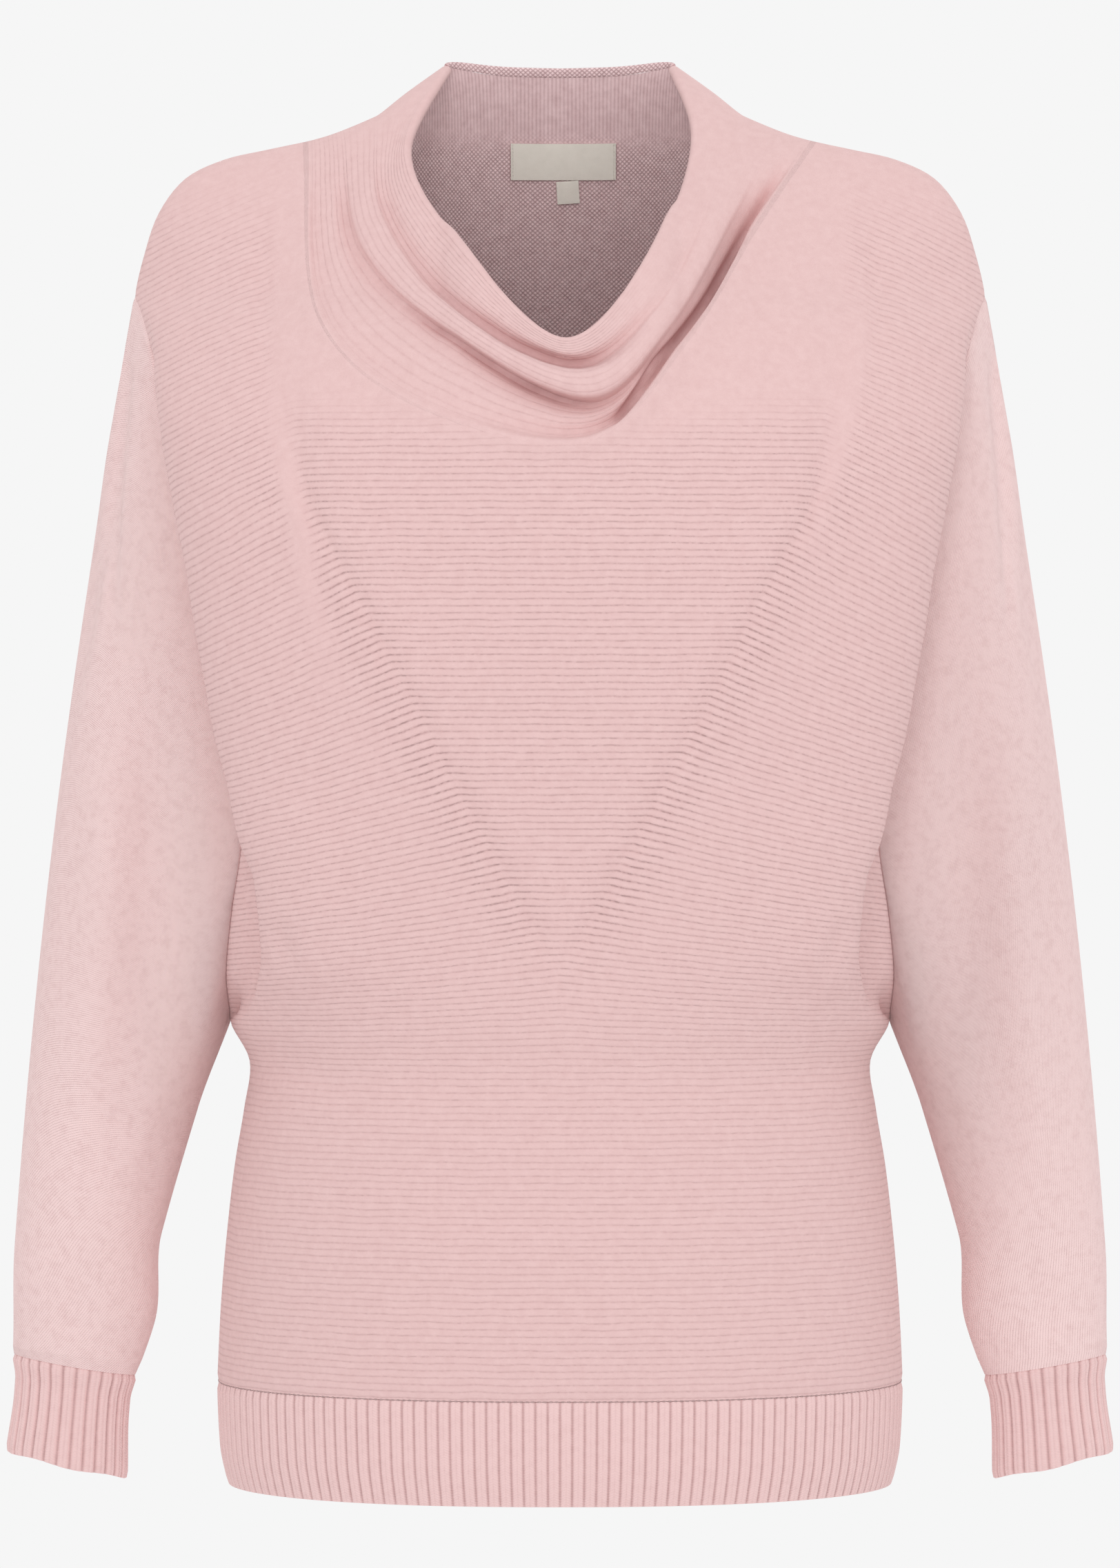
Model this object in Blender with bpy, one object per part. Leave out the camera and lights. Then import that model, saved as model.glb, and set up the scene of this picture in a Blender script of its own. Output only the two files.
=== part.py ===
"""A cowl neck sweater in fine knit, filled out as worn, with its neck, hem and cuffs open.

Lengths below are in millimetres and become metres where a mesh is made. X runs to the viewer's right, Y to the
back and Z up. The origin is between the shoulders, level with them, where the wearer holds the sweater up.
"""

import math

import bpy
import numpy as np

MM = 0.001

# Cloth
WALL = 2.0  # thickness of the knit
GAP = 0.3  # clearance between two pieces at a seam
LABEL_THICK = 1.0
LABEL_CLEAR = 0.7  # label to the inside of the back

# Levels
HEM_SEAM_Z = -630.0
HEM_Z = -682.0
UNDERARM_Z = -448.0
SHOULDER_POINT_Z = -80.0
SHOULDER_POINT_X = 216.0
SHOULDER_ROUNDING = 200.0  # drop over which the cloth turns from the shoulder ridge to the chest

# How finely the pieces are divided
COLUMN_EASE = 1.25  # above 1, columns lie closer together towards the side seams
BACK_ROW_EASE = 1.15  # above 1, the back's upper rows lie closer together towards the shoulder point
FRONT_COLUMNS = 36
BACK_COLUMNS = 22
ARMHOLE_STEPS = 12
SIDE_LEVELS = (HEM_SEAM_Z, -592.0, -555.0, -520.0, -492.0, -468.0)
SLEEVE_RINGS = 13
DENSE = 480  # points along a curve before it is divided evenly
TURN_POINTS = 60  # points along the turn of the front behind its fold
SMOOTH_ANGLE = 50  # degrees, past which an edge shows as sharp

# How the trunk rounds off
SIDE_ROUNDNESS = 2.3  # a higher power keeps the front and back flatter before they turn to the side
RIDGE_ROUNDNESS = 0.62  # a lower power makes the cloth leave the shoulder ridge more steeply
RIDGE_DEPTH_Z = -200.0  # the ridge's own depth comes in from this height
RIDGE_DEPTH_REACH = 140.0
ROW_BOW = 2.2  # a row stays level near the centre and bends up to its edge by this power
ARMHOLE_TOP_MIDDLE_Z = -222.0  # height at the centre of the row that ends on the shoulder point

# Trunk sections, from the hem seam up: height, half width at the side, depth of the front and of the back
TRUNK = (
    ("z", "half", "front", "back"),
    (-682.0, 168.5, 108.0, 106.0),
    (-662.0, 172.5, 111.0, 110.0),
    (-630.0, 173.8, 112.0, 112.0),
    (-577.0, 170.8, 112.0, 111.0),
    (-520.0, 164.8, 109.0, 102.0),
    (-487.0, 159.4, 108.0, 95.0),
    (-468.0, 157.4, 109.0, 94.0),
    (-448.0, 167.0, 113.0, 96.0),
    (-400.0, 167.0, 118.0, 98.0),
    (-330.0, 167.0, 125.0, 104.0),
    (-260.0, 167.0, 129.0, 109.0),
    (-215.0, 167.0, 128.0, 110.0),
    (-165.0, 167.0, 121.0, 106.0),
    (-110.0, 167.0, 103.0, 98.0),
    (-60.0, 167.0, 85.0, 86.0),
    (0.0, 167.0, 60.0, 72.0),
    (45.0, 167.0, 40.0, 60.0),
)

# Armhole, from the shoulder point down: where the front cloth folds over the sleeve, how far it tucks in behind
# that fold, and both armhole seams
ARMHOLE = (
    ("z", "fold_x", "fold_y", "tuck", "front_x", "front_y", "back_x", "back_y"),
    (-80.0, 216.0, 0.0, 0.0, 216.0, 0.0, 216.0, 0.0),
    (-102.0, 205.5, -28.0, 0.0, 208.0, -20.0, 211.0, 22.0),
    (-145.0, 201.0, -45.0, 3.0, 196.0, -32.0, 203.0, 38.0),
    (-194.0, 191.5, -55.0, 4.0, 184.0, -39.0, 196.0, 46.0),
    (-236.0, 183.5, -61.0, 5.0, 175.0, -42.0, 190.0, 50.0),
    (-273.0, 177.5, -66.0, 6.0, 168.0, -44.0, 185.0, 52.0),
    (-312.0, 169.5, -71.0, 7.0, 161.0, -45.0, 179.0, 53.0),
    (-339.0, 163.0, -75.0, 9.0, 159.0, -45.0, 175.0, 53.0),
    (-363.0, 157.0, -79.0, 12.0, 160.0, -43.0, 172.0, 52.0),
    (-385.0, 151.5, -81.0, 15.0, 163.5, -40.0, 170.0, 50.0),
    (-402.0, 148.0, -80.0, 15.0, 166.0, -36.0, 169.0, 46.0),
    (-425.0, 150.0, -60.0, 6.0, 168.0, -26.0, 168.0, 32.0),
    (-448.0, 167.0, 0.0, 0.0, 167.0, 0.0, 167.0, 0.0),
)

# Shoulder seam, from the shoulder point to the corner of the neck
SHOULDER_SEAM = (
    ("x", "y", "z"),
    (216.0, 0.0, -80.0),
    (209.0, 1.0, -49.0),
    (198.0, 2.0, -27.5),
    (181.0, 3.0, -13.5),
    (154.0, 5.0, -6.0),
    (122.0, 9.0, 1.5),
    (103.0, 14.0, 9.0),
    (88.0, 20.0, 17.0),
    (75.0, 30.0, 30.0),
    (60.0, 42.0, 41.5),
)
NECK_SLOPE = 3.0  # how steeply the shoulder line is carried on inside the neck
BACK_NECK_Z = 36.0  # height of the back neck edge at the centre, under its band
BAND_HEIGHT = 4.8
BAND_THICK = 2.6
# Turned band across: share of its height, share of its half thickness
BAND_PROFILE = ((0.0, 0.85), (0.3, 1.0), (0.75, 1.0), (1.0, 0.55))

# Folds of the cowl as seen from the front: end on the shoulder seam, two points, the lowest point, two points
COWL_FOLDS = {
    "lip": (128.0, (-118.0, -98.0), (-76.0, -139.0), (16.0, -159.0), (62.0, -109.0), (97.0, -49.0)),
    "crease_b": (112.0, (-100.0, -62.0), (-52.0, -109.0), (18.0, -141.0), (54.0, -105.0), (89.0, -42.0)),
    "crease_a": (93.0, (-88.0, -40.0), (-51.0, -92.0), (9.0, -122.0), (47.0, -93.0), (77.0, -32.0)),
    "rim": (60.0, (-78.5, -8.0), (-52.0, -59.0), (3.0, -110.5), (41.0, -74.0), (69.5, 0.0)),
}

# Rows across the cowl: what each is, the folds below and above it, its share of the way between them, and the
# depth added at the left, in the centre and at the right
COWL_ROWS = (
    ("name", "lower", "upper", "share", "left", "middle", "right"),
    ("chest_edge", "lip", "lip", 0.0, 1.0, 2.0, 2.5),
    ("behind_lip", "lip", "crease_b", 0.16, -1.0, -4.5, -9.0),
    ("slanted_panel", "lip", "crease_b", 0.62, -1.0, -5.5, -5.0),
    ("crease_b", "lip", "crease_b", 1.0, -3.5, -9.0, -1.0),
    ("roll_2_underside", "crease_b", "crease_a", 0.14, 1.5, 1.5, 1.0),
    ("roll_2", "crease_b", "crease_a", 0.5, 4.0, 5.5, 3.5),
    ("roll_2_top", "crease_b", "crease_a", 0.86, 2.5, 2.5, 3.5),
    ("crease_a", "crease_b", "crease_a", 1.0, -2.0, -4.0, 2.5),
    ("roll_1", "crease_a", "rim", 0.42, 0.5, 0.5, 3.5),
    ("rim", "crease_a", "rim", 1.0, 0.0, 0.0, 0.0),
)
YOKE_STEPS = 5  # rows between the shoulder point and the cowl
RIM_RADIUS = 2.8  # the cowl's edge is turned over at this radius
RIM_TURN_STEPS = 3
RIM_FACING = 11.0  # depth of the turned edge on the inside
RIM_END_CLEAR = 1.0  # the turned edge stops this far short of the back
COWL_SETTLE_Z = -8.0  # the cowl's rolls die out from here up to the shoulder seam
COWL_SETTLE_REACH = 45.0
COWL_DEPTH_X = (-96.0, -55.0, 5.0, 60.0, 92.0)  # where the depths of a cowl row hold: left, left, centre, right, right

# Soft lengthwise folds of the front: top and bottom as seen from the front, half width, height
DRAPE_FOLDS = (
    ("x_top", "z_top", "x_bottom", "z_bottom", "width", "height"),
    (137.0, -30.0, 84.0, -330.0, 22.0, 3.0),
    (150.0, -40.0, 128.0, -210.0, 13.0, -3.5),
    (118.0, -330.0, 132.0, -452.0, 16.0, 2.5),
)

# Sleeve
SLEEVE_DEPTH = 50.0  # half depth at the armhole
WRIST_DEPTH = 19.0
CUFF_OUT = (278.0, -617.0)
CUFF_IN = (215.0, -628.0)
SLEEVE_Y = 3.0
SLEEVE_HALF_DEPTHS = (("share", "depth"), (0.0, SLEEVE_DEPTH), (0.35, 46.0), (0.8, 31.0), (1.0, WRIST_DEPTH))
UNDERARM_EASE = 0.62  # below 1, the rings fan out round the underarm
CAP_REACH = 2.2  # the armhole's shape has gone from the sleeve at 1 / 2.2 of its length
CAP_EASE = 1.5
OUTLINE_SLOPE = 0.180  # the outer outline leaves the shoulder at this slope and steepens
OUTLINE_BEND = 0.000115
# Inner edge of the sleeve under the arm: share of the way down, distance out from a straight line
INNER_EDGE = (
    ("share", "out"),
    (0.0, 0.0),
    (0.25, 5.0),
    (0.6, 6.5),
    (0.85, -2.0),
    (1.0, 0.0),
)
# Long soft folds down the sleeve: place round it in degrees from the outer edge, where each starts and ends as a
# share of the sleeve's length, half width in degrees, height
SLEEVE_FOLDS = (
    ("around", "start", "end", "width", "height"),
    (-22.0, 0.05, 0.48, 12.0, -3.0),
    (-105.0, 0.12, 0.88, 34.0, -4.5),
    (38.0, 0.1, 0.62, 26.0, -3.5),
)

# Ribs
HEM_RIBS_HALF = 76  # ribs across the front of the hem, and across the back
HEM_RIB_HEIGHT = 1.0
CUFF_RIBS = 28
CUFF_RIB_HEIGHT = 1.1
CUFF_BOTTOM_OUT = (281.5, -666.0)
CUFF_BOTTOM_IN = (219.5, -680.0)
CUFF_WAIST = 2.2  # the cuff is drawn in by this much just under its seam
CUFF_ROWS = (0.0, 0.3, 0.7, 1.0)
RIB_WALL = 1.4  # thickness of a rib band in its valleys

# Neck label and size tab, as seen from the front
LABEL_BOX = (-25.5, 29.0, -14.2, 4.2)
TAB_BOX = (-2.0, 9.6, -26.2, -14.7)

MATERIALS = {
    "ripple_knit": (0.82, 0.57, 0.56),
    "plain_knit": (0.83, 0.58, 0.57),
    "rib_knit": (0.82, 0.56, 0.55),
    "label_tape": (0.72, 0.66, 0.55),
}


def column(table, name):
    """Read one named column of a table as an array."""
    return np.array([row[table[0].index(name)] for row in table[1:]], float)


def eased(xs, ys, x):
    """Read a smooth curve through the points xs, ys, with no overshoot between them."""
    xs = np.asarray(xs, float)
    ys = np.asarray(ys, float)
    if xs[0] > xs[-1]:
        xs = xs[::-1]
        ys = ys[::-1]
    steps = np.diff(xs)
    slopes = np.diff(ys) / steps
    tangents = np.zeros_like(ys)
    product = slopes[:-1] * slopes[1:]
    total = slopes[:-1] + slopes[1:]
    tangents[1:-1] = np.where(product > 0, 2 * product / np.where(total == 0, 1, total), 0)
    tangents[0] = slopes[0]
    tangents[-1] = slopes[-1]
    x = np.clip(np.asarray(x, float), xs[0], xs[-1])
    k = np.clip(np.searchsorted(xs, x, side="right") - 1, 0, len(steps) - 1)
    t = (x - xs[k]) / steps[k]
    a = ys[k] * (1 + 2 * t) * (1 - t) ** 2 + ys[k + 1] * t * t * (3 - 2 * t)
    b = tangents[k] * t * (1 - t) ** 2 - tangents[k + 1] * t * t * (1 - t)
    return a + b * steps[k]


def read(table, name, at, key="z"):
    """Read a column of a table at a height, or at another key."""
    return eased(column(table, key), column(table, name), at)


def smooth_step(t):
    """Ease from 0 to 1 as t goes from 0 to 1."""
    t = np.clip(t, 0, 1)
    return t * t * (3 - 2 * t)


def divided(points, shares):
    """Divide a curve by shares of its length."""
    length = np.linalg.norm(np.diff(points, axis=0), axis=1)
    along = np.concatenate([[0], np.cumsum(length)])
    along /= along[-1]
    return np.stack([np.interp(shares, along, points[:, i]) for i in range(points.shape[1])], axis=1)


def through(points, count):
    """Lay a smooth curve through a few points."""
    points = np.asarray(points, float)
    chord = np.concatenate([[0], np.cumsum(np.sqrt(np.linalg.norm(np.diff(points, axis=0), axis=1)))])
    at = np.linspace(0, chord[-1], count)
    k = np.clip(np.searchsorted(chord, at, side="right") - 1, 0, len(chord) - 2)
    slopes = np.diff(points, axis=0) / np.diff(chord)[:, None]
    tangents = np.empty_like(points)
    before = np.diff(chord)[:-1, None]
    after = np.diff(chord)[1:, None]
    tangents[1:-1] = (slopes[:-1] * after + slopes[1:] * before) / (before + after)
    tangents[0] = slopes[0]
    tangents[-1] = slopes[-1]
    step = (chord[k + 1] - chord[k])[:, None]
    t = (at - chord[k])[:, None] / step
    ends = points[k] * (1 + 2 * t) * (1 - t) ** 2 + points[k + 1] * t * t * (3 - 2 * t)
    return ends + step * (tangents[k] * t * (1 - t) ** 2 - tangents[k + 1] * t * t * (1 - t))


def spread(columns):
    """Shares of a half row from the centre to its edge, closer together towards the edge."""
    return 1 - (1 - np.linspace(0, 1, columns // 2 + 1)) ** COLUMN_EASE


def shoulder_line(x):
    """Height and depth of the shoulder ridge at a distance from the centre line."""
    x = np.abs(x)
    neck = column(SHOULDER_SEAM, "x")[-1]
    z = read(SHOULDER_SEAM, "z", x, "x") + NECK_SLOPE * np.clip(neck - x, 0, None)
    y = read(SHOULDER_SEAM, "y", x, "x")
    return y, z


def widest(z, side):
    """Half width of the front or back where its cloth turns to the side, and the depth there."""
    low = z < UNDERARM_Z
    name_x, name_y = ("fold_x", "fold_y") if side < 0 else ("back_x", "back_y")
    x = np.where(low, read(TRUNK, "half", z), read(ARMHOLE, name_x, z))
    y = np.where(low, 0.0, read(ARMHOLE, name_y, z))
    return x, y


def drape(x, z):
    """Outward offset of the soft lengthwise folds."""
    out = np.zeros_like(x)
    for x_top, z_top, x_bottom, z_bottom, width, height in DRAPE_FOLDS[1:]:
        t = (z_top - z) / (z_top - z_bottom)
        middle = x_top + (x_bottom - x_top) * t
        fade = smooth_step(t * 4) * smooth_step((1 - t) * 3)
        out += height * fade * np.exp(-(((np.abs(x) - middle) / width) ** 2))
    return out


def torso_y(x, z, side):
    """Depth of the front (side -1) or back (side +1) at a point seen from the front."""
    x = np.asarray(x, float)
    z = np.asarray(z, float)
    half, half_y = widest(z, side)
    ridge_y, ridge_z = shoulder_line(x)
    near_ridge = smooth_step((z - RIDGE_DEPTH_Z) / RIDGE_DEPTH_REACH)
    edge_y = half_y + ridge_y * near_ridge
    middle_y = side * read(TRUNK, "front" if side < 0 else "back", z)
    across = np.sqrt(np.clip(1 - np.clip(np.abs(x) / half, 0, 1) ** SIDE_ROUNDNESS, 0, 1))
    fall = np.clip((ridge_z - z) / SHOULDER_ROUNDING, 0, 1)
    down = np.clip(1 - (1 - fall) ** 2, 0, 1) ** RIDGE_ROUNDNESS
    y = edge_y + (middle_y - edge_y) * across * down
    if side < 0:
        y -= drape(x, z) * across * down
    return y


def seam_end(share):
    """Point on the shoulder seam at a share of its length from the shoulder point."""
    seam = np.array(SHOULDER_SEAM[1:])
    x = divided(through(seam, DENSE), np.array([share]))[0, 0]
    y, z = shoulder_line(x)
    return np.array([x, float(y), float(z)])


def seam_share(x):
    """Share of the shoulder seam's length at a distance from the centre line."""
    seam = through(np.array(SHOULDER_SEAM[1:]), DENSE)
    length = np.concatenate([[0], np.cumsum(np.linalg.norm(np.diff(seam, axis=0), axis=1))])
    return float(np.interp(-x, -seam[:, 0], length) / length[-1])


def level_half(z_middle, z_edge, side, shares):
    """Half of a row that ends at the side seam or the armhole, from the centre to its edge."""
    u = np.sin(np.linspace(0, math.pi / 2, DENSE))
    z = z_middle + (z_edge - z_middle) * u**ROW_BOW
    half, _ = widest(z, side)
    points = np.stack([u * half, torso_y(u * half, z, side), z], axis=1)
    if side < 0 and UNDERARM_Z < z_edge < SHOULDER_POINT_Z:
        fold = points[-1]
        seam = np.array([read(ARMHOLE, "front_x", z_edge), read(ARMHOLE, "front_y", z_edge), z_edge])
        reach = np.linalg.norm(seam - fold)
        t = np.linspace(0, 1, TURN_POINTS)[1:, None]
        tuck = float(read(ARMHOLE, "tuck", z_edge))
        one = fold + np.array([-tuck, 0.45 * reach, 0])
        two = seam - np.array([0.6 * tuck, 0.25 * reach, 0])
        turn = fold * (1 - t) ** 3 + 3 * one * t * (1 - t) ** 2 + 3 * two * t * t * (1 - t) + seam * t**3
        points = np.concatenate([points, turn])
    return divided(points, shares)


def both_halves(half):
    """A whole row from its right half."""
    left = half[:0:-1] * np.array([-1, 1, 1])
    return np.concatenate([left, half])


def levels():
    """Heights at the centre and at the edge of the rows that end on the side seam or the armhole."""
    around = np.linspace(math.pi, 0, ARMHOLE_STEPS + 1)
    middle = (SHOULDER_POINT_Z + UNDERARM_Z) / 2
    reach = (SHOULDER_POINT_Z - UNDERARM_Z) / 2
    rows = [(z, z) for z in SIDE_LEVELS]
    for j, angle in enumerate(around):
        rise = (ARMHOLE_TOP_MIDDLE_Z - UNDERARM_Z) * j / ARMHOLE_STEPS
        rows.append((UNDERARM_Z + rise, middle + reach * math.cos(angle)))
    return rows


def fold_row(name, shares):
    """A whole fold of the cowl as seen from the front, divided on each side of its lowest point."""
    end_x, *points = COWL_FOLDS[name]
    end = seam_end(seam_share(end_x))
    ends = [(-end[0], end[2]), *points, (end[0], end[2])]
    curve = through(ends, DENSE)
    low = int(np.argmin(curve[:, 1]))
    left = divided(curve[low::-1], shares)
    right = divided(curve[low:], shares)
    return np.concatenate([left[:0:-1], right])


def placed(flat, share, side, added):
    """Give a row seen from the front its depth, and bring its ends onto the shoulder seam."""
    count = len(flat) // 2
    s = np.abs(np.linspace(-1, 1, 2 * count + 1))
    end = seam_end(share)
    x = flat[:, 0].copy()
    z = flat[:, 1].copy()
    x[:count] += (-end[0] - x[0]) * s[:count] ** 4
    x[count:] += (end[0] - x[-1]) * s[count:] ** 4
    z += (end[2] - z[-1]) * s**4
    y = torso_y(x, z, side)
    y -= added
    row = np.stack([x, y, z], axis=1)
    row[0] = end * np.array([-1, 1, 1])
    row[-1] = end
    return row


def depth_along(row, left, middle, right):
    """Depth added along a row of the cowl, dying out at the shoulder seam."""
    x = row[:, 0]
    across = eased(COWL_DEPTH_X, [left, left, middle, right, right], x)
    fade = smooth_step((COWL_SETTLE_Z - row[:, 1]) / COWL_SETTLE_REACH)
    return across * fade


def front_rows():
    """The front panel's outer surface as rows from the hem seam to the turned edge of the cowl."""
    shares = spread(FRONT_COLUMNS)
    rows = [both_halves(level_half(z, edge, -1, shares)) for z, edge in levels()]
    start = rows[-1][:, [0, 2]]
    lip = fold_row("lip", shares)
    ends = seam_shares()
    for k in range(1, YOKE_STEPS + 1):
        t = k / (YOKE_STEPS + 1)
        rows.append(placed(start + (lip - start) * t, ends[k - 1], -1, 0.0))
    for end, (_, lower, upper, t, left, middle, right) in zip(ends[YOKE_STEPS:], COWL_ROWS[1:]):
        low = fold_row(lower, shares)
        high = fold_row(upper, shares)
        flat = low + (high - low) * t
        rows.append(placed(flat, end, -1, depth_along(flat, left, middle, right)))
    return np.array(rows)


def seam_shares():
    """Shares of the shoulder seam at which the rows of the front and back meet."""
    lip_share = seam_share(COWL_FOLDS["lip"][0])
    shares = [lip_share * k / (YOKE_STEPS + 1) for k in range(1, YOKE_STEPS + 1)]
    for _, lower, upper, t, *_ in COWL_ROWS[1:]:
        share = seam_share(COWL_FOLDS[lower][0])
        shares.append(share + (seam_share(COWL_FOLDS[upper][0]) - share) * t)
    return shares


def back_neck(shares):
    """The back neck edge as seen from the front."""
    end = seam_end(1.0)
    curve = through([(0, BACK_NECK_Z), (0.6 * end[0], BACK_NECK_Z + 0.8), (end[0], end[2])], DENSE)
    right = divided(curve, shares)
    return np.concatenate([right[:0:-1] * np.array([-1, 1]), right])


def back_rows():
    """The back panel's outer surface as rows from the hem seam to the neck edge."""
    shares = spread(BACK_COLUMNS)
    rows = [both_halves(level_half(z, edge, 1, shares)) for z, edge in levels()]
    start = rows[-1][:, [0, 2]]
    neck = back_neck(shares)
    for share in seam_shares():
        t = share**BACK_ROW_EASE
        rows.append(placed(start + (neck - start) * t, share, 1, 0.0))
    return np.array(rows)


def grid_normals(grid, closed=False):
    """Outward normals at the points of a grid."""
    up = np.gradient(grid, axis=0)
    if closed:
        across = (np.roll(grid, -1, axis=1) - np.roll(grid, 1, axis=1)) / 2
    else:
        across = np.gradient(grid, axis=1)
    normal = np.cross(across, up)
    return normal / np.maximum(np.linalg.norm(normal, axis=2, keepdims=True), 1e-9)


def unit(vectors):
    """Vectors of length 1 along the given ones."""
    return vectors / np.maximum(np.linalg.norm(vectors, axis=-1, keepdims=True), 1e-9)


def turned_edge(grid, normals):
    """Rows that carry the cowl's edge over and down its inside."""
    edge = grid[-1]
    inward = -normals[-1]
    up = unit(np.cross(normals[-1], np.gradient(edge, axis=0)))
    down = unit(grid[-2] - grid[-1])
    down = unit(down - inward * (down * inward).sum(axis=1, keepdims=True))
    rows = []
    row_normals = []
    for k in range(1, RIM_TURN_STEPS + 1):
        a = math.pi * k / RIM_TURN_STEPS
        rows.append(edge + RIM_RADIUS * (up * math.sin(a) + inward * (1 - math.cos(a))))
        row_normals.append(unit(up * math.sin(a) - inward * math.cos(a)))
    rows.append(rows[-1] + down * RIM_FACING)
    row_normals.append(inward)
    return np.array(rows), np.array(row_normals)


def held_back(outer, inner, rows=(), sides=False):
    """Draw the named edge rows of a wall, and both its sides, back from their seams by half the gap."""
    for edge in rows:
        step = unit(outer[edge + (1 if edge == 0 else -1)] - outer[edge]) * GAP / 2
        outer[edge] += step
        inner[edge] += step
    if sides:
        for edge, beside in ((0, 1), (-1, -2)):
            step = unit(outer[:, beside] - outer[:, edge]) * GAP / 2
            outer[:, edge] += step
            inner[:, edge] += step


def wall(name, outer, inner, material, closed=False, ribbed=False):
    """Make one closed wall from matching grids of outer and inner points."""
    rows, columns = outer.shape[:2]
    points = np.concatenate([outer.reshape(-1, 3), inner.reshape(-1, 3)]) * MM
    shift = rows * columns
    faces = []

    def at(r, c):
        return r * columns + c % columns

    def rim(one, two):
        """Two triangles across the wall's edge, split the same way as those of the piece that meets it."""
        if tuple(np.round(points[one], 4)) < tuple(np.round(points[two], 4)):
            faces.append((one, two, shift + one))
            faces.append((two, shift + two, shift + one))
        else:
            faces.append((one, two, shift + two))
            faces.append((one, shift + two, shift + one))

    across = columns if closed else columns - 1
    for r in range(rows - 1):
        for c in range(across):
            quad = (at(r, c), at(r, c + 1), at(r + 1, c + 1), at(r + 1, c))
            faces.append(quad)
            faces.append(tuple(shift + i for i in quad[::-1]))
    for c in range(across):
        rim(at(0, c + 1), at(0, c))
        rim(at(rows - 1, c), at(rows - 1, c + 1))
    if not closed:
        for r in range(rows - 1):
            rim(at(r, 0), at(r + 1, 0))
            rim(at(r + 1, columns - 1), at(r, columns - 1))
    mesh = bpy.data.meshes.new(name)
    mesh.from_pydata([tuple(p) for p in points], [], faces)
    mesh.validate()
    if not ribbed:
        mesh.shade_smooth()
        mesh.set_sharp_from_angle(angle=math.radians(SMOOTH_ANGLE))
    mesh.materials.append(material)
    piece = bpy.data.objects.new(name, mesh)
    bpy.context.scene.collection.objects.link(piece)
    return piece


def knit(name):
    """A plain finish in one of the sweater's colours."""
    material = bpy.data.materials.new(name)
    material.use_nodes = True
    shader = material.node_tree.nodes["Principled BSDF"]
    shader.inputs["Base Color"].default_value = (*MATERIALS[name], 1.0)
    shader.inputs["Roughness"].default_value = 0.9
    shader.inputs["Metallic"].default_value = 0.0
    return material


def outline_x(z):
    """Distance of the sleeve's outer outline from the centre line."""
    down = SHOULDER_POINT_Z - z
    return SHOULDER_POINT_X + 1.0 + down * (OUTLINE_SLOPE - OUTLINE_BEND * down)


def sleeve_ring(s, around):
    """One ring of the right sleeve: s runs from the armhole to the cuff, around from the outer edge."""
    out_z = SHOULDER_POINT_Z + (CUFF_OUT[1] - SHOULDER_POINT_Z) * s
    out_x = outline_x(out_z) + (CUFF_OUT[0] - outline_x(CUFF_OUT[1])) * smooth_step((s - 0.9) * 10)
    out_x -= 1.0 * (1 - s)
    down = 1 - (1 - s) ** UNDERARM_EASE
    in_z = UNDERARM_Z + (CUFF_IN[1] - UNDERARM_Z) * down
    in_x = 167.0 + (CUFF_IN[0] - 167.0) * down + read(INNER_EDGE, "out", down, "share")
    middle = np.array([(out_x + in_x) / 2, SLEEVE_Y * smooth_step(s * 3), (out_z + in_z) / 2])
    reach = np.array([(out_x - in_x) / 2, 0, (out_z - in_z) / 2])
    depth = read(SLEEVE_HALF_DEPTHS, "depth", s, "share")
    swell = np.ones_like(around)
    for angle, start, end, width, height in SLEEVE_FOLDS[1:]:
        away = (np.degrees(around) - angle + 180) % 360 - 180
        fade = smooth_step((s - start) * 6) * smooth_step((end - s) * 4)
        swell += height / SLEEVE_DEPTH * fade * np.exp(-((away / width) ** 2))
    side = np.stack([np.zeros_like(around), np.sin(around) * depth, np.zeros_like(around)], axis=1)
    return middle + swell[:, None] * (np.cos(around)[:, None] * reach + side)


def armhole_loop(front, back):
    """The right armhole's seam points: from the shoulder point down the front and up the back."""
    first = len(SIDE_LEVELS)
    last = first + ARMHOLE_STEPS
    down = front[last:first - 1:-1, -1]
    up = back[first + 1:last, -1]
    return np.concatenate([down, up])


def sleeve_rings(front, back):
    """The right sleeve's outer surface as rings from the armhole to the cuff."""
    loop = armhole_loop(front, back)
    around = -np.linspace(0, 2 * math.pi, len(loop), endpoint=False)
    first = sleeve_ring(0.0, around)
    rings = []
    for k in range(SLEEVE_RINGS + 1):
        s = k / SLEEVE_RINGS
        cap = (1 - smooth_step(s * CAP_REACH)) ** CAP_EASE
        rings.append(sleeve_ring(s, around) + (loop - first) * cap)
    return np.array(rings)


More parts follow.
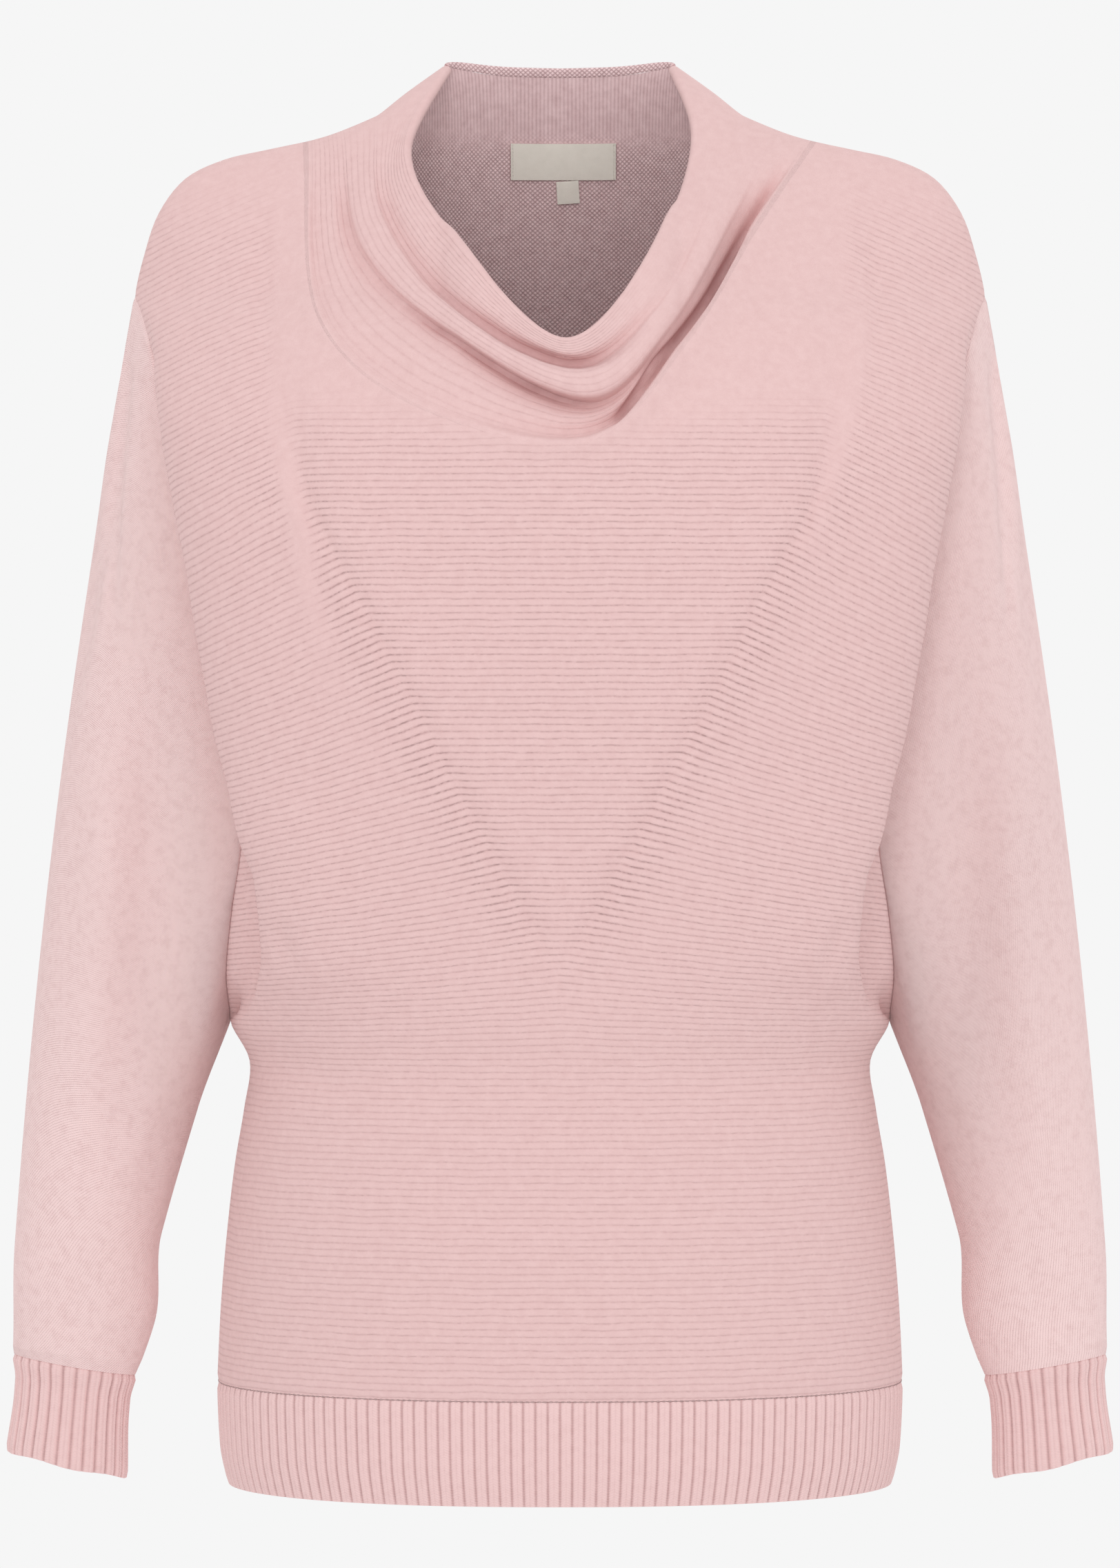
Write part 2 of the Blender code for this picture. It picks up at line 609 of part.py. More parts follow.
def cuff_rings():
    """The right cuff's outer and inner surface, with its ribs raised on the outside."""
    columns = 2 * CUFF_RIBS
    around = -np.linspace(0, 2 * math.pi, columns, endpoint=False)
    outer = []
    inner = []
    for t in CUFF_ROWS:
        out = np.array(CUFF_OUT) + (np.array(CUFF_BOTTOM_OUT) - np.array(CUFF_OUT)) * t
        into = np.array(CUFF_IN) + (np.array(CUFF_BOTTOM_IN) - np.array(CUFF_IN)) * t
        middle = (out + into) / 2
        reach = (out - into) / 2
        draw = CUFF_WAIST * smooth_step(t * 4) * smooth_step((1.1 - t) * 1.4)
        size = np.linalg.norm(reach)
        plain = size - draw - CUFF_RIB_HEIGHT
        raised = plain + CUFF_RIB_HEIGHT * (np.arange(columns) % 2 == 0)
        for radius, rows in ((raised, outer), (plain - RIB_WALL, inner)):
            share = radius / size * np.ones(columns)
            flat = np.cos(around) * share
            ring = np.stack([middle[0] + flat * reach[0], 0 * flat, middle[1] + flat * reach[1]], axis=1)
            ring[:, 1] = SLEEVE_Y + np.sin(around) * (WRIST_DEPTH + (share - 1) * size)
            rows.append(ring)
    return np.array(outer), np.array(inner)


def hem_rows(side):
    """One half of the hem band, with its ribs raised on the outside."""
    columns = 2 * HEM_RIBS_HALF
    shares = np.linspace(0, 1, columns // 2 + 1)
    raised = (np.abs(np.arange(-columns // 2, columns // 2 + 1)) % 2 == 0) * HEM_RIB_HEIGHT
    outer = []
    inner = []
    for z in (HEM_SEAM_Z, HEM_Z):
        row = both_halves(level_half(z, z, side, shares))
        out = unit(np.cross(np.gradient(row, axis=0), [0, 0, 1.0])) * -1
        out *= np.sign((out * row).sum(axis=1, keepdims=True))
        outer.append(row + out * (raised[:, None] - HEM_RIB_HEIGHT))
        inner.append(row - out * (HEM_RIB_HEIGHT + RIB_WALL))
    return np.array(outer[::-1]), np.array(inner[::-1])


def mirrored(grid):
    """The left-hand copy of a right-hand grid, with its columns turned round so that it still faces out."""
    return grid[:, ::-1] * np.array([-1, 1, 1])


def flat_label(name, box, material):
    """A piece of tape on the inside of the back, made from the back's own points."""
    x_low, x_high, z_low, z_high = box
    xs = np.linspace(x_low, x_high, 7)
    zs = np.linspace(z_low, z_high, 3)
    x, z = np.meshgrid(xs, zs)
    behind = torso_y(x, z, 1) - WALL - LABEL_CLEAR
    back_face = np.stack([x, behind, z], axis=2)
    front_face = back_face - np.array([0, LABEL_THICK, 0])
    return wall(name, front_face, back_face, material)


def shared_normals(front, back, sleeve):
    """Outward directions of the front, back and right sleeve, the same for two pieces where they meet at a seam."""
    front_normals = grid_normals(front)
    back_normals = -grid_normals(back)
    sleeve_normals = grid_normals(sleeve, closed=True)
    rows = len(back)
    for edge in (0, -1):
        shared = unit(front_normals[:rows, edge] + back_normals[:, edge])
        front_normals[:rows, edge] = shared
        back_normals[:, edge] = shared
    underarm = len(SIDE_LEVELS)
    point = underarm + ARMHOLE_STEPS
    ring = np.concatenate([front_normals[point:underarm - 1:-1, -1], back_normals[underarm + 1:point, -1]])
    shared = unit(ring + sleeve_normals[0])
    sleeve_normals[0] = shared
    down, up = shared[:ARMHOLE_STEPS + 1], shared[ARMHOLE_STEPS + 1:]
    flip = np.array([-1, 1, 1])
    front_normals[underarm:point + 1, -1] = down[::-1]
    front_normals[underarm:point + 1, 0] = down[::-1] * flip
    back_normals[underarm + 1:point, -1] = up
    back_normals[underarm + 1:point, 0] = up * flip
    for row in (underarm, point):
        back_normals[row, [0, -1]] = front_normals[row, [0, -1]]
    for normals in (front_normals, back_normals):
        normals[0, :, 2] = 0
        normals[0] = unit(normals[0])
    cuff_plane = unit(np.array([CUFF_OUT[0] - CUFF_IN[0], 0, CUFF_OUT[1] - CUFF_IN[1]]))
    across_cuff = np.cross(cuff_plane, [0, 1.0, 0])
    sleeve_normals[-1] -= across_cuff * (sleeve_normals[-1] @ across_cuff)[:, None]
    sleeve_normals[-1] = unit(sleeve_normals[-1])
    return front_normals, back_normals, sleeve_normals


def build_front(front, normals, material):
    """The front panel with the cowl knitted on and its edge turned in."""
    facing, facing_normals = turned_edge(front, normals)
    outer = np.concatenate([front, facing])
    inner = outer - WALL * np.concatenate([normals, facing_normals])
    held_back(outer, inner, rows=(0,), sides=True)
    turned = slice(len(front), None)
    for edge, beside in ((0, 1), (-1, -2)):
        step = unit(outer[turned, beside] - outer[turned, edge]) * RIM_END_CLEAR
        outer[turned, edge] += step
        inner[turned, edge] += step
    wall("front", outer, inner, material)


def build_back(back, normals, material, band_material):
    """The back panel, and the narrow band turned over its neck edge."""
    outer = back.copy()
    inner = back - WALL * normals
    middle = (outer[-1] + inner[-1]) / 2
    thick = unit(outer[-1] - inner[-1]) * BAND_THICK / 2
    held_back(outer, inner, rows=(0, -1), sides=True)
    wall("back", outer[:, ::-1], inner[:, ::-1], material)
    rise = unit(np.cross(np.gradient(back[-1], axis=0), thick)) * BAND_HEIGHT
    outer = np.array([middle + rise * height + thick * size for height, size in BAND_PROFILE])[:, 1:-1]
    inner = np.array([middle + rise * height - thick * size for height, size in BAND_PROFILE])[:, 1:-1]
    held_back(outer, inner, rows=(0,))
    wall("back_neck_band", outer[:, ::-1], inner[:, ::-1], band_material)


def build_sleeves(sleeve, normals, material, cuff_material):
    """Both sleeves and their cuffs."""
    outer = sleeve.copy()
    inner = sleeve - WALL * normals
    held_back(outer, inner, rows=(0, -1))
    wall("sleeve_right", outer, inner, material, closed=True)
    wall("sleeve_left", mirrored(outer), mirrored(inner), material, closed=True)
    outer, inner = cuff_rings()
    held_back(outer, inner, rows=(0,))
    wall("cuff_right", outer, inner, cuff_material, closed=True, ribbed=True)
    wall("cuff_left", mirrored(outer), mirrored(inner), cuff_material, closed=True, ribbed=True)


def build_hem(material):
    """The two halves of the ribbed hem band."""
    for name, side in (("hem_rib_front", -1), ("hem_rib_back", 1)):
        outer, inner = hem_rows(side)
        held_back(outer, inner, rows=(-1,), sides=True)
        turn = slice(None, None, -side)
        wall(name, outer[:, turn], inner[:, turn], material, ribbed=True)


def build():
    """Model every piece of the sweater."""
    finishes = {name: knit(name) for name in MATERIALS}
    front = front_rows()
    back = back_rows()
    sleeve = sleeve_rings(front, back)
    front_normals, back_normals, sleeve_normals = shared_normals(front, back, sleeve)
    build_front(front, front_normals, finishes["ripple_knit"])
    build_back(back, back_normals, finishes["ripple_knit"], finishes["rib_knit"])
    build_sleeves(sleeve, sleeve_normals, finishes["plain_knit"], finishes["rib_knit"])
    build_hem(finishes["rib_knit"])
    flat_label("neck_label", LABEL_BOX, finishes["label_tape"])
    flat_label("size_tab", TAB_BOX, finishes["label_tape"])


for existing in list(bpy.data.objects):
    bpy.data.objects.remove(existing, do_unlink=True)
build()
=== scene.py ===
"""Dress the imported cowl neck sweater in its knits, ribs, seams and labels, and set its light and camera.

Lengths in the classes are millimetres and become metres where a mesh is made. X runs to the viewer's right, Y to
the back and Z up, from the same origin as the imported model.
"""

import logging
import math
from dataclasses import dataclass, field
from enum import Enum

import bpy
import numpy as np
from numpy.typing import NDArray
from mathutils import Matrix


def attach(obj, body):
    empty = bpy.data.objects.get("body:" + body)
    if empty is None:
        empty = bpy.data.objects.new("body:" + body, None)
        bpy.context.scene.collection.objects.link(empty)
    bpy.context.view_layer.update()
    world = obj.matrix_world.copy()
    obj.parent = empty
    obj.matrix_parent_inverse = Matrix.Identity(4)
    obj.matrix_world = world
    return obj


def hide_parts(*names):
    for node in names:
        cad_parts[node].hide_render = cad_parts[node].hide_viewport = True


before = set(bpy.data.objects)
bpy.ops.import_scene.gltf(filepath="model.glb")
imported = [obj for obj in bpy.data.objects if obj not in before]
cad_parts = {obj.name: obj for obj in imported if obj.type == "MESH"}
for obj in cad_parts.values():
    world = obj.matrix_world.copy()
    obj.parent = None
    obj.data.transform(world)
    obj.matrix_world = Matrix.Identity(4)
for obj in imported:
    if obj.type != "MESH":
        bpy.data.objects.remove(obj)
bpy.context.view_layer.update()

Array = NDArray[np.float64]
Material = bpy.types.Material
Piece = bpy.types.Object
Socket = bpy.types.NodeSocket

log = logging.getLogger("sweater")

MM = 0.001
WALL = 2.0  # thickness of the knit
DENSE = 480  # points along a curve before it is divided evenly
UV_NAME = "knit"
SHARP_ANGLE = math.radians(50)
MIRROR = np.array([-1.0, 1.0, 1.0])


class Slot(Enum):
    """The record's material slots."""

    RIPPLE = "ripple_knit"
    PLAIN = "plain_knit"
    RIB = "rib_knit"
    TAPE = "label_tape"


class Side(Enum):
    """The two halves of the trunk, by the sign of their depth."""

    FRONT = -1
    BACK = 1


def eased(xs: Array, ys: Array, x: Array) -> Array:
    """Read a smooth curve through points, with no overshoot between them.

    Args:
        xs: Places of the points, all rising or all falling.
        ys: Heights of the points.
        x: Places to read.

    Returns:
        The curve's heights at x.
    """
    xs = np.asarray(xs, float)
    ys = np.asarray(ys, float)
    if xs[0] > xs[-1]:
        xs = xs[::-1]
        ys = ys[::-1]
    steps = np.diff(xs)
    slopes = np.diff(ys) / steps
    tangents = np.zeros_like(ys)
    product = slopes[:-1] * slopes[1:]
    total = slopes[:-1] + slopes[1:]
    tangents[1:-1] = np.where(product > 0, 2 * product / np.where(total == 0, 1, total), 0)
    tangents[0] = slopes[0]
    tangents[-1] = slopes[-1]
    x = np.clip(np.asarray(x, float), xs[0], xs[-1])
    k = np.clip(np.searchsorted(xs, x, side="right") - 1, 0, len(steps) - 1)
    t = (x - xs[k]) / steps[k]
    ends = ys[k] * (1 + 2 * t) * (1 - t) ** 2 + ys[k + 1] * t * t * (3 - 2 * t)
    return ends + steps[k] * (tangents[k] * t * (1 - t) ** 2 - tangents[k + 1] * t * t * (1 - t))


def smooth_step(t: Array | float) -> Array:
    """Ease from 0 to 1 as t goes from 0 to 1."""
    t = np.clip(t, 0, 1)
    return t * t * (3 - 2 * t)


def unit(vectors: Array) -> Array:
    """Vectors of length 1 along the given ones."""
    return vectors / np.maximum(np.linalg.norm(vectors, axis=-1, keepdims=True), 1e-9)


def lengths_along(points: Array) -> Array:
    """Length of a line of points up to each of them."""
    return np.concatenate([[0.0], np.cumsum(np.linalg.norm(np.diff(points, axis=0), axis=1))])


def divided(points: Array, shares: Array) -> Array:
    """Divide a curve by shares of its length.

    Args:
        points: The curve as a dense line of points.
        shares: Shares of its length, from 0 to 1.

    Returns:
        One point for each share.
    """
    along = lengths_along(points)
    along /= along[-1]
    return np.stack([np.interp(shares, along, points[:, i]) for i in range(points.shape[1])], axis=1)


def between_rows(guide: Array, at: Array) -> Array:
    """Lay rows between guide rows, on a smooth curve down each column.

    Args:
        guide: Guide rows, as rows of points.
        at: Places of the new rows, where 2.5 is halfway between the third guide row and the fourth.

    Returns:
        The new rows.
    """
    chord = np.sqrt(np.maximum(np.linalg.norm(np.diff(guide, axis=0), axis=2), 1e-6))[..., None]
    slopes = np.diff(guide, axis=0) / chord
    tangents = np.empty_like(guide)
    before = chord[:-1]
    after = chord[1:]
    tangents[1:-1] = (slopes[:-1] * after + slopes[1:] * before) / (before + after)
    tangents[0] = slopes[0]
    tangents[-1] = slopes[-1]
    k = np.clip(np.floor(at).astype(int), 0, len(guide) - 2)
    t = (at - k)[:, None, None]
    ends = guide[k] * (1 + 2 * t) * (1 - t) ** 2 + guide[k + 1] * t * t * (3 - 2 * t)
    return ends + chord[k] * (tangents[k] * t * (1 - t) ** 2 - tangents[k + 1] * t * t * (1 - t))


def through(points: Array, count: int) -> Array:
    """Lay a smooth curve of count points through a few points."""
    points = np.asarray(points, float)
    chord = lengths_along_root(points)
    places = np.interp(np.linspace(0, chord[-1], count), chord, np.arange(len(points)))
    return between_rows(points[:, None, :], places)[:, 0]


def lengths_along_root(points: Array) -> Array:
    """Sum of the square roots of a line's steps up to each point."""
    steps = np.linalg.norm(np.diff(points, axis=0), axis=1)
    return np.concatenate([[0.0], np.cumsum(np.sqrt(steps))])


def grid_normals(grid: Array, closed: bool = False) -> Array:
    """Outward directions at the points of a grid.

    Args:
        grid: Rows of points.
        closed: Whether each row is a ring.

    Returns:
        A unit vector for each point.
    """
    up = np.gradient(grid, axis=0)
    if closed:
        across = (np.roll(grid, -1, axis=1) - np.roll(grid, 1, axis=1)) / 2
    else:
        across = np.gradient(grid, axis=1)
    return unit(np.cross(across, up))


def both_halves(half: Array) -> Array:
    """A whole row from its right half."""
    return np.concatenate([half[:0:-1] * MIRROR, half])


def mirrored(grid: Array) -> Array:
    """The left-hand copy of a right-hand grid, with its columns turned round so that it still faces out."""
    return grid[:, ::-1] * MIRROR


@dataclass(frozen=True)
class Table:
    """Numbers in named columns."""

    names: tuple[str, ...]
    rows: tuple[tuple[float, ...], ...]

    def column(self, name: str) -> Array:
        """One column as an array."""
        return np.array([row[self.names.index(name)] for row in self.rows], float)

    def read(self, name: str, at: Array | float, key: str = "z") -> Array:
        """Read a column at a height, or at another key.

        Args:
            name: The column to read.
            at: Places in the key column.
            key: The column that holds the places.

        Returns:
            The column's value at each place.
        """
        return eased(self.column(key), self.column(name), at)


@dataclass(frozen=True)
class Crease:
    """A soft trough or ridge laid on a surface, as seen from the front or the back."""

    path: tuple[tuple[float, float], ...]
    width: float
    height: float
    start: float = 0.25
    end: float = 0.25

    def offset(self, grid: Array) -> Array:
        """Outward offset of this crease.

        Args:
            grid: Points of the surface.

        Returns:
            The offset at each point.
        """
        line = through(np.array(self.path), 90)
        flat = grid[..., [0, 2]].reshape(-1, 2)
        away = np.linalg.norm(flat[:, None, :] - line[None], axis=2)
        near = away.argmin(axis=1)
        t = near / (len(line) - 1)
        fade = smooth_step(t / self.start) * smooth_step((1 - t) / self.end)
        out = self.height * fade * np.exp(-((away[np.arange(len(flat)), near] / self.width) ** 2))
        return out.reshape(grid.shape[:2])


@dataclass(frozen=True)
class TrunkForm:
    """The worn form of the trunk: its sections, armhole, shoulder ridge and soft folds."""

    hem_seam_z: float = -630.0
    underarm_z: float = -448.0
    point_z: float = -80.0
    side_levels: tuple[float, ...] = (-630.0, -592.0, -555.0, -520.0, -492.0, -468.0)
    armhole_steps: int = 12
    yoke_steps: int = 5
    shoulder_rounding: float = 200.0
    side_roundness: float = 2.3
    ridge_roundness: float = 0.62
    ridge_depth_z: float = -200.0
    ridge_depth_reach: float = 140.0
    row_bow: float = 2.2
    column_ease: float = 1.25
    top_middle_z: float = -222.0
    neck_slope: float = 3.0
    sections: Table = Table(
        ("z", "half", "front", "back"),
        (
            (-682.0, 168.5, 108.0, 106.0),
            (-662.0, 172.5, 111.0, 110.0),
            (-630.0, 173.8, 112.0, 112.0),
            (-577.0, 170.8, 112.0, 111.0),
            (-520.0, 164.8, 109.0, 102.0),
            (-487.0, 159.4, 108.0, 95.0),
            (-468.0, 157.4, 109.0, 94.0),
            (-448.0, 167.0, 113.0, 96.0),
            (-400.0, 167.0, 118.0, 98.0),
            (-330.0, 167.0, 125.0, 104.0),
            (-260.0, 167.0, 129.0, 109.0),
            (-215.0, 167.0, 128.0, 110.0),
            (-165.0, 167.0, 121.0, 106.0),
            (-110.0, 167.0, 103.0, 98.0),
            (-60.0, 167.0, 85.0, 86.0),
            (0.0, 167.0, 60.0, 72.0),
            (45.0, 167.0, 40.0, 60.0),
        ),
    )
    armhole: Table = Table(
        ("z", "fold_x", "fold_y", "tuck", "front_x", "front_y", "back_x", "back_y"),
        (
            (-80.0, 216.0, 0.0, 0.0, 216.0, 0.0, 216.0, 0.0),
            (-102.0, 205.5, -28.0, 0.0, 208.0, -20.0, 211.0, 22.0),
            (-145.0, 201.0, -45.0, 3.0, 196.0, -32.0, 203.0, 38.0),
            (-194.0, 191.5, -55.0, 4.0, 184.0, -39.0, 196.0, 46.0),
            (-236.0, 183.5, -61.0, 5.0, 175.0, -42.0, 190.0, 50.0),
            (-273.0, 177.5, -66.0, 6.0, 168.0, -44.0, 185.0, 52.0),
            (-312.0, 169.5, -71.0, 7.0, 161.0, -45.0, 179.0, 53.0),
            (-339.0, 163.0, -75.0, 9.0, 159.0, -45.0, 175.0, 53.0),
            (-363.0, 157.0, -79.0, 12.0, 160.0, -43.0, 172.0, 52.0),
            (-385.0, 151.5, -81.0, 15.0, 163.5, -40.0, 170.0, 50.0),
            (-402.0, 148.0, -80.0, 15.0, 166.0, -36.0, 169.0, 46.0),
            (-425.0, 150.0, -60.0, 6.0, 168.0, -26.0, 168.0, 32.0),
            (-448.0, 167.0, 0.0, 0.0, 167.0, 0.0, 167.0, 0.0),
        ),
    )
    shoulder: Table = Table(
        ("x", "y", "z"),
        (
            (216.0, 0.0, -80.0),
            (209.0, 1.0, -49.0),
            (198.0, 2.0, -27.5),
            (181.0, 3.0, -13.5),
            (154.0, 5.0, -6.0),
            (122.0, 9.0, 1.5),
            (103.0, 14.0, 9.0),
            (88.0, 20.0, 17.0),
            (75.0, 30.0, 30.0),
            (60.0, 42.0, 41.5),
        ),
    )
    drapes: Table = Table(
        ("x_top", "z_top", "x_bottom", "z_bottom", "width", "height"),
        (
            (137.0, -30.0, 84.0, -330.0, 22.0, 3.0),
            (150.0, -40.0, 128.0, -210.0, 13.0, -3.5),
            (118.0, -330.0, 132.0, -452.0, 16.0, 2.5),
        ),
    )

    def spread(self, columns: int) -> Array:
        """Shares of a half row from the centre to its edge, closer together towards the edge."""
        return 1 - (1 - np.linspace(0, 1, columns // 2 + 1)) ** self.column_ease

    def shoulder_line(self, x: Array) -> tuple[Array, Array]:
        """Depth and height of the shoulder ridge at a distance from the centre line."""
        x = np.abs(x)
        inside = np.clip(self.shoulder.column("x")[-1] - x, 0, None)
        return self.shoulder.read("y", x, "x"), self.shoulder.read("z", x, "x") + self.neck_slope * inside

    def widest(self, z: Array, side: Side) -> tuple[Array, Array]:
        """Half width of one side where its cloth turns away, and the depth there."""
        low = z < self.underarm_z
        name_x, name_y = ("fold_x", "fold_y") if side is Side.FRONT else ("back_x", "back_y")
        x = np.where(low, self.sections.read("half", z), self.armhole.read(name_x, z))
        return x, np.where(low, 0.0, self.armhole.read(name_y, z))

    def drape(self, x: Array, z: Array) -> Array:
        """Outward offset of the soft lengthwise folds of the front."""
        out = np.zeros_like(x)
        for x_top, z_top, x_bottom, z_bottom, width, height in self.drapes.rows:
            t = (z_top - z) / (z_top - z_bottom)
            middle = x_top + (x_bottom - x_top) * t
            fade = smooth_step(t * 4) * smooth_step((1 - t) * 3)
            out += height * fade * np.exp(-(((np.abs(x) - middle) / width) ** 2))
        return out

    def depth(self, x: Array, z: Array, side: Side) -> Array:
        """Depth of the front or back at points seen from the front.

        Args:
            x: Distances from the centre line.
            z: Heights.
            side: Which half of the trunk.

        Returns:
            The depth at each point.
        """
        x = np.asarray(x, float)
        z = np.asarray(z, float)
        half, half_y = self.widest(z, side)
        ridge_y, ridge_z = self.shoulder_line(x)
        edge_y = half_y + ridge_y * smooth_step((z - self.ridge_depth_z) / self.ridge_depth_reach)
        middle_y = side.value * self.sections.read("front" if side is Side.FRONT else "back", z)
        share = np.clip(np.abs(x) / half, 0, 1)
        across = np.sqrt(np.clip(1 - share**self.side_roundness, 0, 1))
        fall = np.clip((ridge_z - z) / self.shoulder_rounding, 0, 1)
        down = np.clip(1 - (1 - fall) ** 2, 0, 1) ** self.ridge_roundness
        y = edge_y + (middle_y - edge_y) * across * down
        if side is Side.FRONT:
            y -= self.drape(x, z) * across * down
        return y

    def seam_end(self, share: float) -> Array:
        """Point on the shoulder seam at a share of its length from the shoulder point."""
        x = divided(through(np.array(self.shoulder.rows), DENSE), np.array([share]))[0, 0]
        y, z = self.shoulder_line(x)
        return np.array([x, float(y), float(z)])

    def seam_share(self, x: float) -> float:
        """Share of the shoulder seam's length at a distance from the centre line."""
        seam = through(np.array(self.shoulder.rows), DENSE)
        length = lengths_along(seam)
        return float(np.interp(-x, -seam[:, 0], length) / length[-1])

    def level_half(self, z_middle: float, z_edge: float, side: Side, shares: Array) -> Array:
        """Half of a row that ends at the side seam or the armhole, from the centre to its edge.

        Args:
            z_middle: Height at the centre.
            z_edge: Height at the edge.
            side: Which half of the trunk.
            shares: Shares of the row's length.

        Returns:
            A point for each share.
        """
        u = np.sin(np.linspace(0, math.pi / 2, DENSE))
        z = z_middle + (z_edge - z_middle) * u**self.row_bow
        half, _ = self.widest(z, side)
        points = np.stack([u * half, self.depth(u * half, z, side), z], axis=1)
        if side is Side.FRONT and self.underarm_z < z_edge < self.point_z:
            fold = points[-1]
            seam = np.array([*(self.armhole.read(name, z_edge) for name in ("front_x", "front_y")), z_edge])
            reach = np.linalg.norm(seam - fold)
            tuck = float(self.armhole.read("tuck", z_edge))
            one = fold + np.array([-tuck, 0.45 * reach, 0])
            two = seam - np.array([0.6 * tuck, 0.25 * reach, 0])
            t = np.linspace(0, 1, 60)[1:, None]
            turn = fold * (1 - t) ** 3 + 3 * one * t * (1 - t) ** 2 + 3 * two * t * t * (1 - t) + seam * t**3
            points = np.concatenate([points, turn])
        return divided(points, shares)

    def levels(self) -> list[tuple[float, float]]:
        """Heights at the centre and at the edge of the rows that end on the side seam or the armhole."""
        middle = (self.point_z + self.underarm_z) / 2
        reach = (self.point_z - self.underarm_z) / 2
        rows = [(z, z) for z in self.side_levels]
        for j, angle in enumerate(np.linspace(math.pi, 0, self.armhole_steps + 1)):
            rise = (self.top_middle_z - self.underarm_z) * j / self.armhole_steps
            rows.append((self.underarm_z + rise, middle + reach * math.cos(angle)))
        return rows


@dataclass(frozen=True)
class CowlRow:
    """One row across the cowl: the folds below and above it, its place between them and its depths."""

    lower: str
    upper: str
    share: float
    left: float
    middle: float
    right: float


@dataclass(frozen=True)
class Cowl:
    """The draped cowl that is knitted on to the front, with its folds as seen from the front."""

    folds: tuple[tuple[str, float, tuple[tuple[float, float], ...]], ...] = (
        ("lip", 128.0, ((-118.0, -98.0), (-76.0, -139.0), (16.0, -159.0), (62.0, -109.0), (97.0, -49.0))),
        ("crease_b", 112.0, ((-100.0, -62.0), (-52.0, -109.0), (18.0, -141.0), (54.0, -105.0), (89.0, -42.0))),
        ("crease_a", 93.0, ((-88.0, -40.0), (-51.0, -92.0), (9.0, -122.0), (47.0, -93.0), (77.0, -32.0))),
        ("rim", 60.0, ((-78.5, -8.0), (-52.0, -59.0), (3.0, -110.5), (41.0, -74.0), (69.5, 0.0))),
    )
    rows: tuple[CowlRow, ...] = (
        CowlRow("lip", "lip", 0.0, 1.5, 3.0, 5.0),
        CowlRow("lip", "crease_b", 0.16, -1.5, -6.5, -15.0),
        CowlRow("lip", "crease_b", 0.62, -1.0, -6.0, -8.0),
        CowlRow("lip", "crease_b", 1.0, -5.0, -12.0, -3.0),
        CowlRow("crease_b", "crease_a", 0.14, 1.5, 1.5, 1.0),
        CowlRow("crease_b", "crease_a", 0.5, 4.0, 5.5, 3.5),
        CowlRow("crease_b", "crease_a", 0.86, 2.5, 2.5, 3.5),
        CowlRow("crease_b", "crease_a", 1.0, -3.5, -6.5, 2.5),
        CowlRow("crease_a", "rim", 0.42, 0.5, 0.5, 3.5),
        CowlRow("crease_a", "rim", 1.0, 0.0, 0.0, 0.0),
    )
    depth_x: tuple[float, ...] = (-96.0, -55.0, 5.0, 60.0, 92.0)
    settle_z: float = -8.0
    settle_reach: float = 45.0
    rim_radius: float = 2.8
    turn_steps: int = 7
    facing: float = 8.0
    facing_steps: int = 3

    def fold(self, name: str, form: TrunkForm, shares: Array) -> tuple[Array, float]:
        """A whole fold, divided on each side of its lowest point, and its end's share of the shoulder seam."""
        end_x, points = next((x, points) for key, x, points in self.folds if key == name)
        share = form.seam_share(end_x)
        end = form.seam_end(share)
        curve = through(np.array([(-end[0], end[2]), *points, (end[0], end[2])]), DENSE)
        low = int(np.argmin(curve[:, 1]))
        left = divided(curve[low::-1], shares)
        return np.concatenate([left[:0:-1], divided(curve[low:], shares)]), share

    def depths(self, flat: Array, row: CowlRow) -> Array:
        """Depth added along a row, dying out at the shoulder seam."""
        across = eased(self.depth_x, (row.left, row.left, row.middle, row.right, row.right), flat[:, 0])
        return across * smooth_step((self.settle_z - flat[:, 1]) / self.settle_reach)

    def turned_edge(self, grid: Array, normals: Array, down: Array) -> tuple[Array, Array]:
        """Rows that carry the cowl's edge over and down its inside.

        Args:
            grid: The front's outer surface.
            normals: Its outward directions.
            down: Direction down the surface at each column of the edge.

        Returns:
            The rows and their outward directions.
        """
        edge = grid[-1]
        inward = -normals[-1]
        up = unit(np.cross(normals[-1], np.gradient(edge, axis=0)))
        down = unit(down - inward * (down * inward).sum(axis=1, keepdims=True))
        rows = []
        row_normals = []
        for k in range(1, self.turn_steps + 1):
            a = math.pi * k / self.turn_steps
            rows.append(edge + self.rim_radius * (up * math.sin(a) + inward * (1 - math.cos(a))))
            row_normals.append(unit(up * math.sin(a) - inward * math.cos(a)))
        for k in range(1, self.facing_steps + 1):
            rows.append(rows[self.turn_steps - 1] + down * self.facing * k / self.facing_steps)
            row_normals.append(inward)
        return np.array(rows), np.array(row_normals)


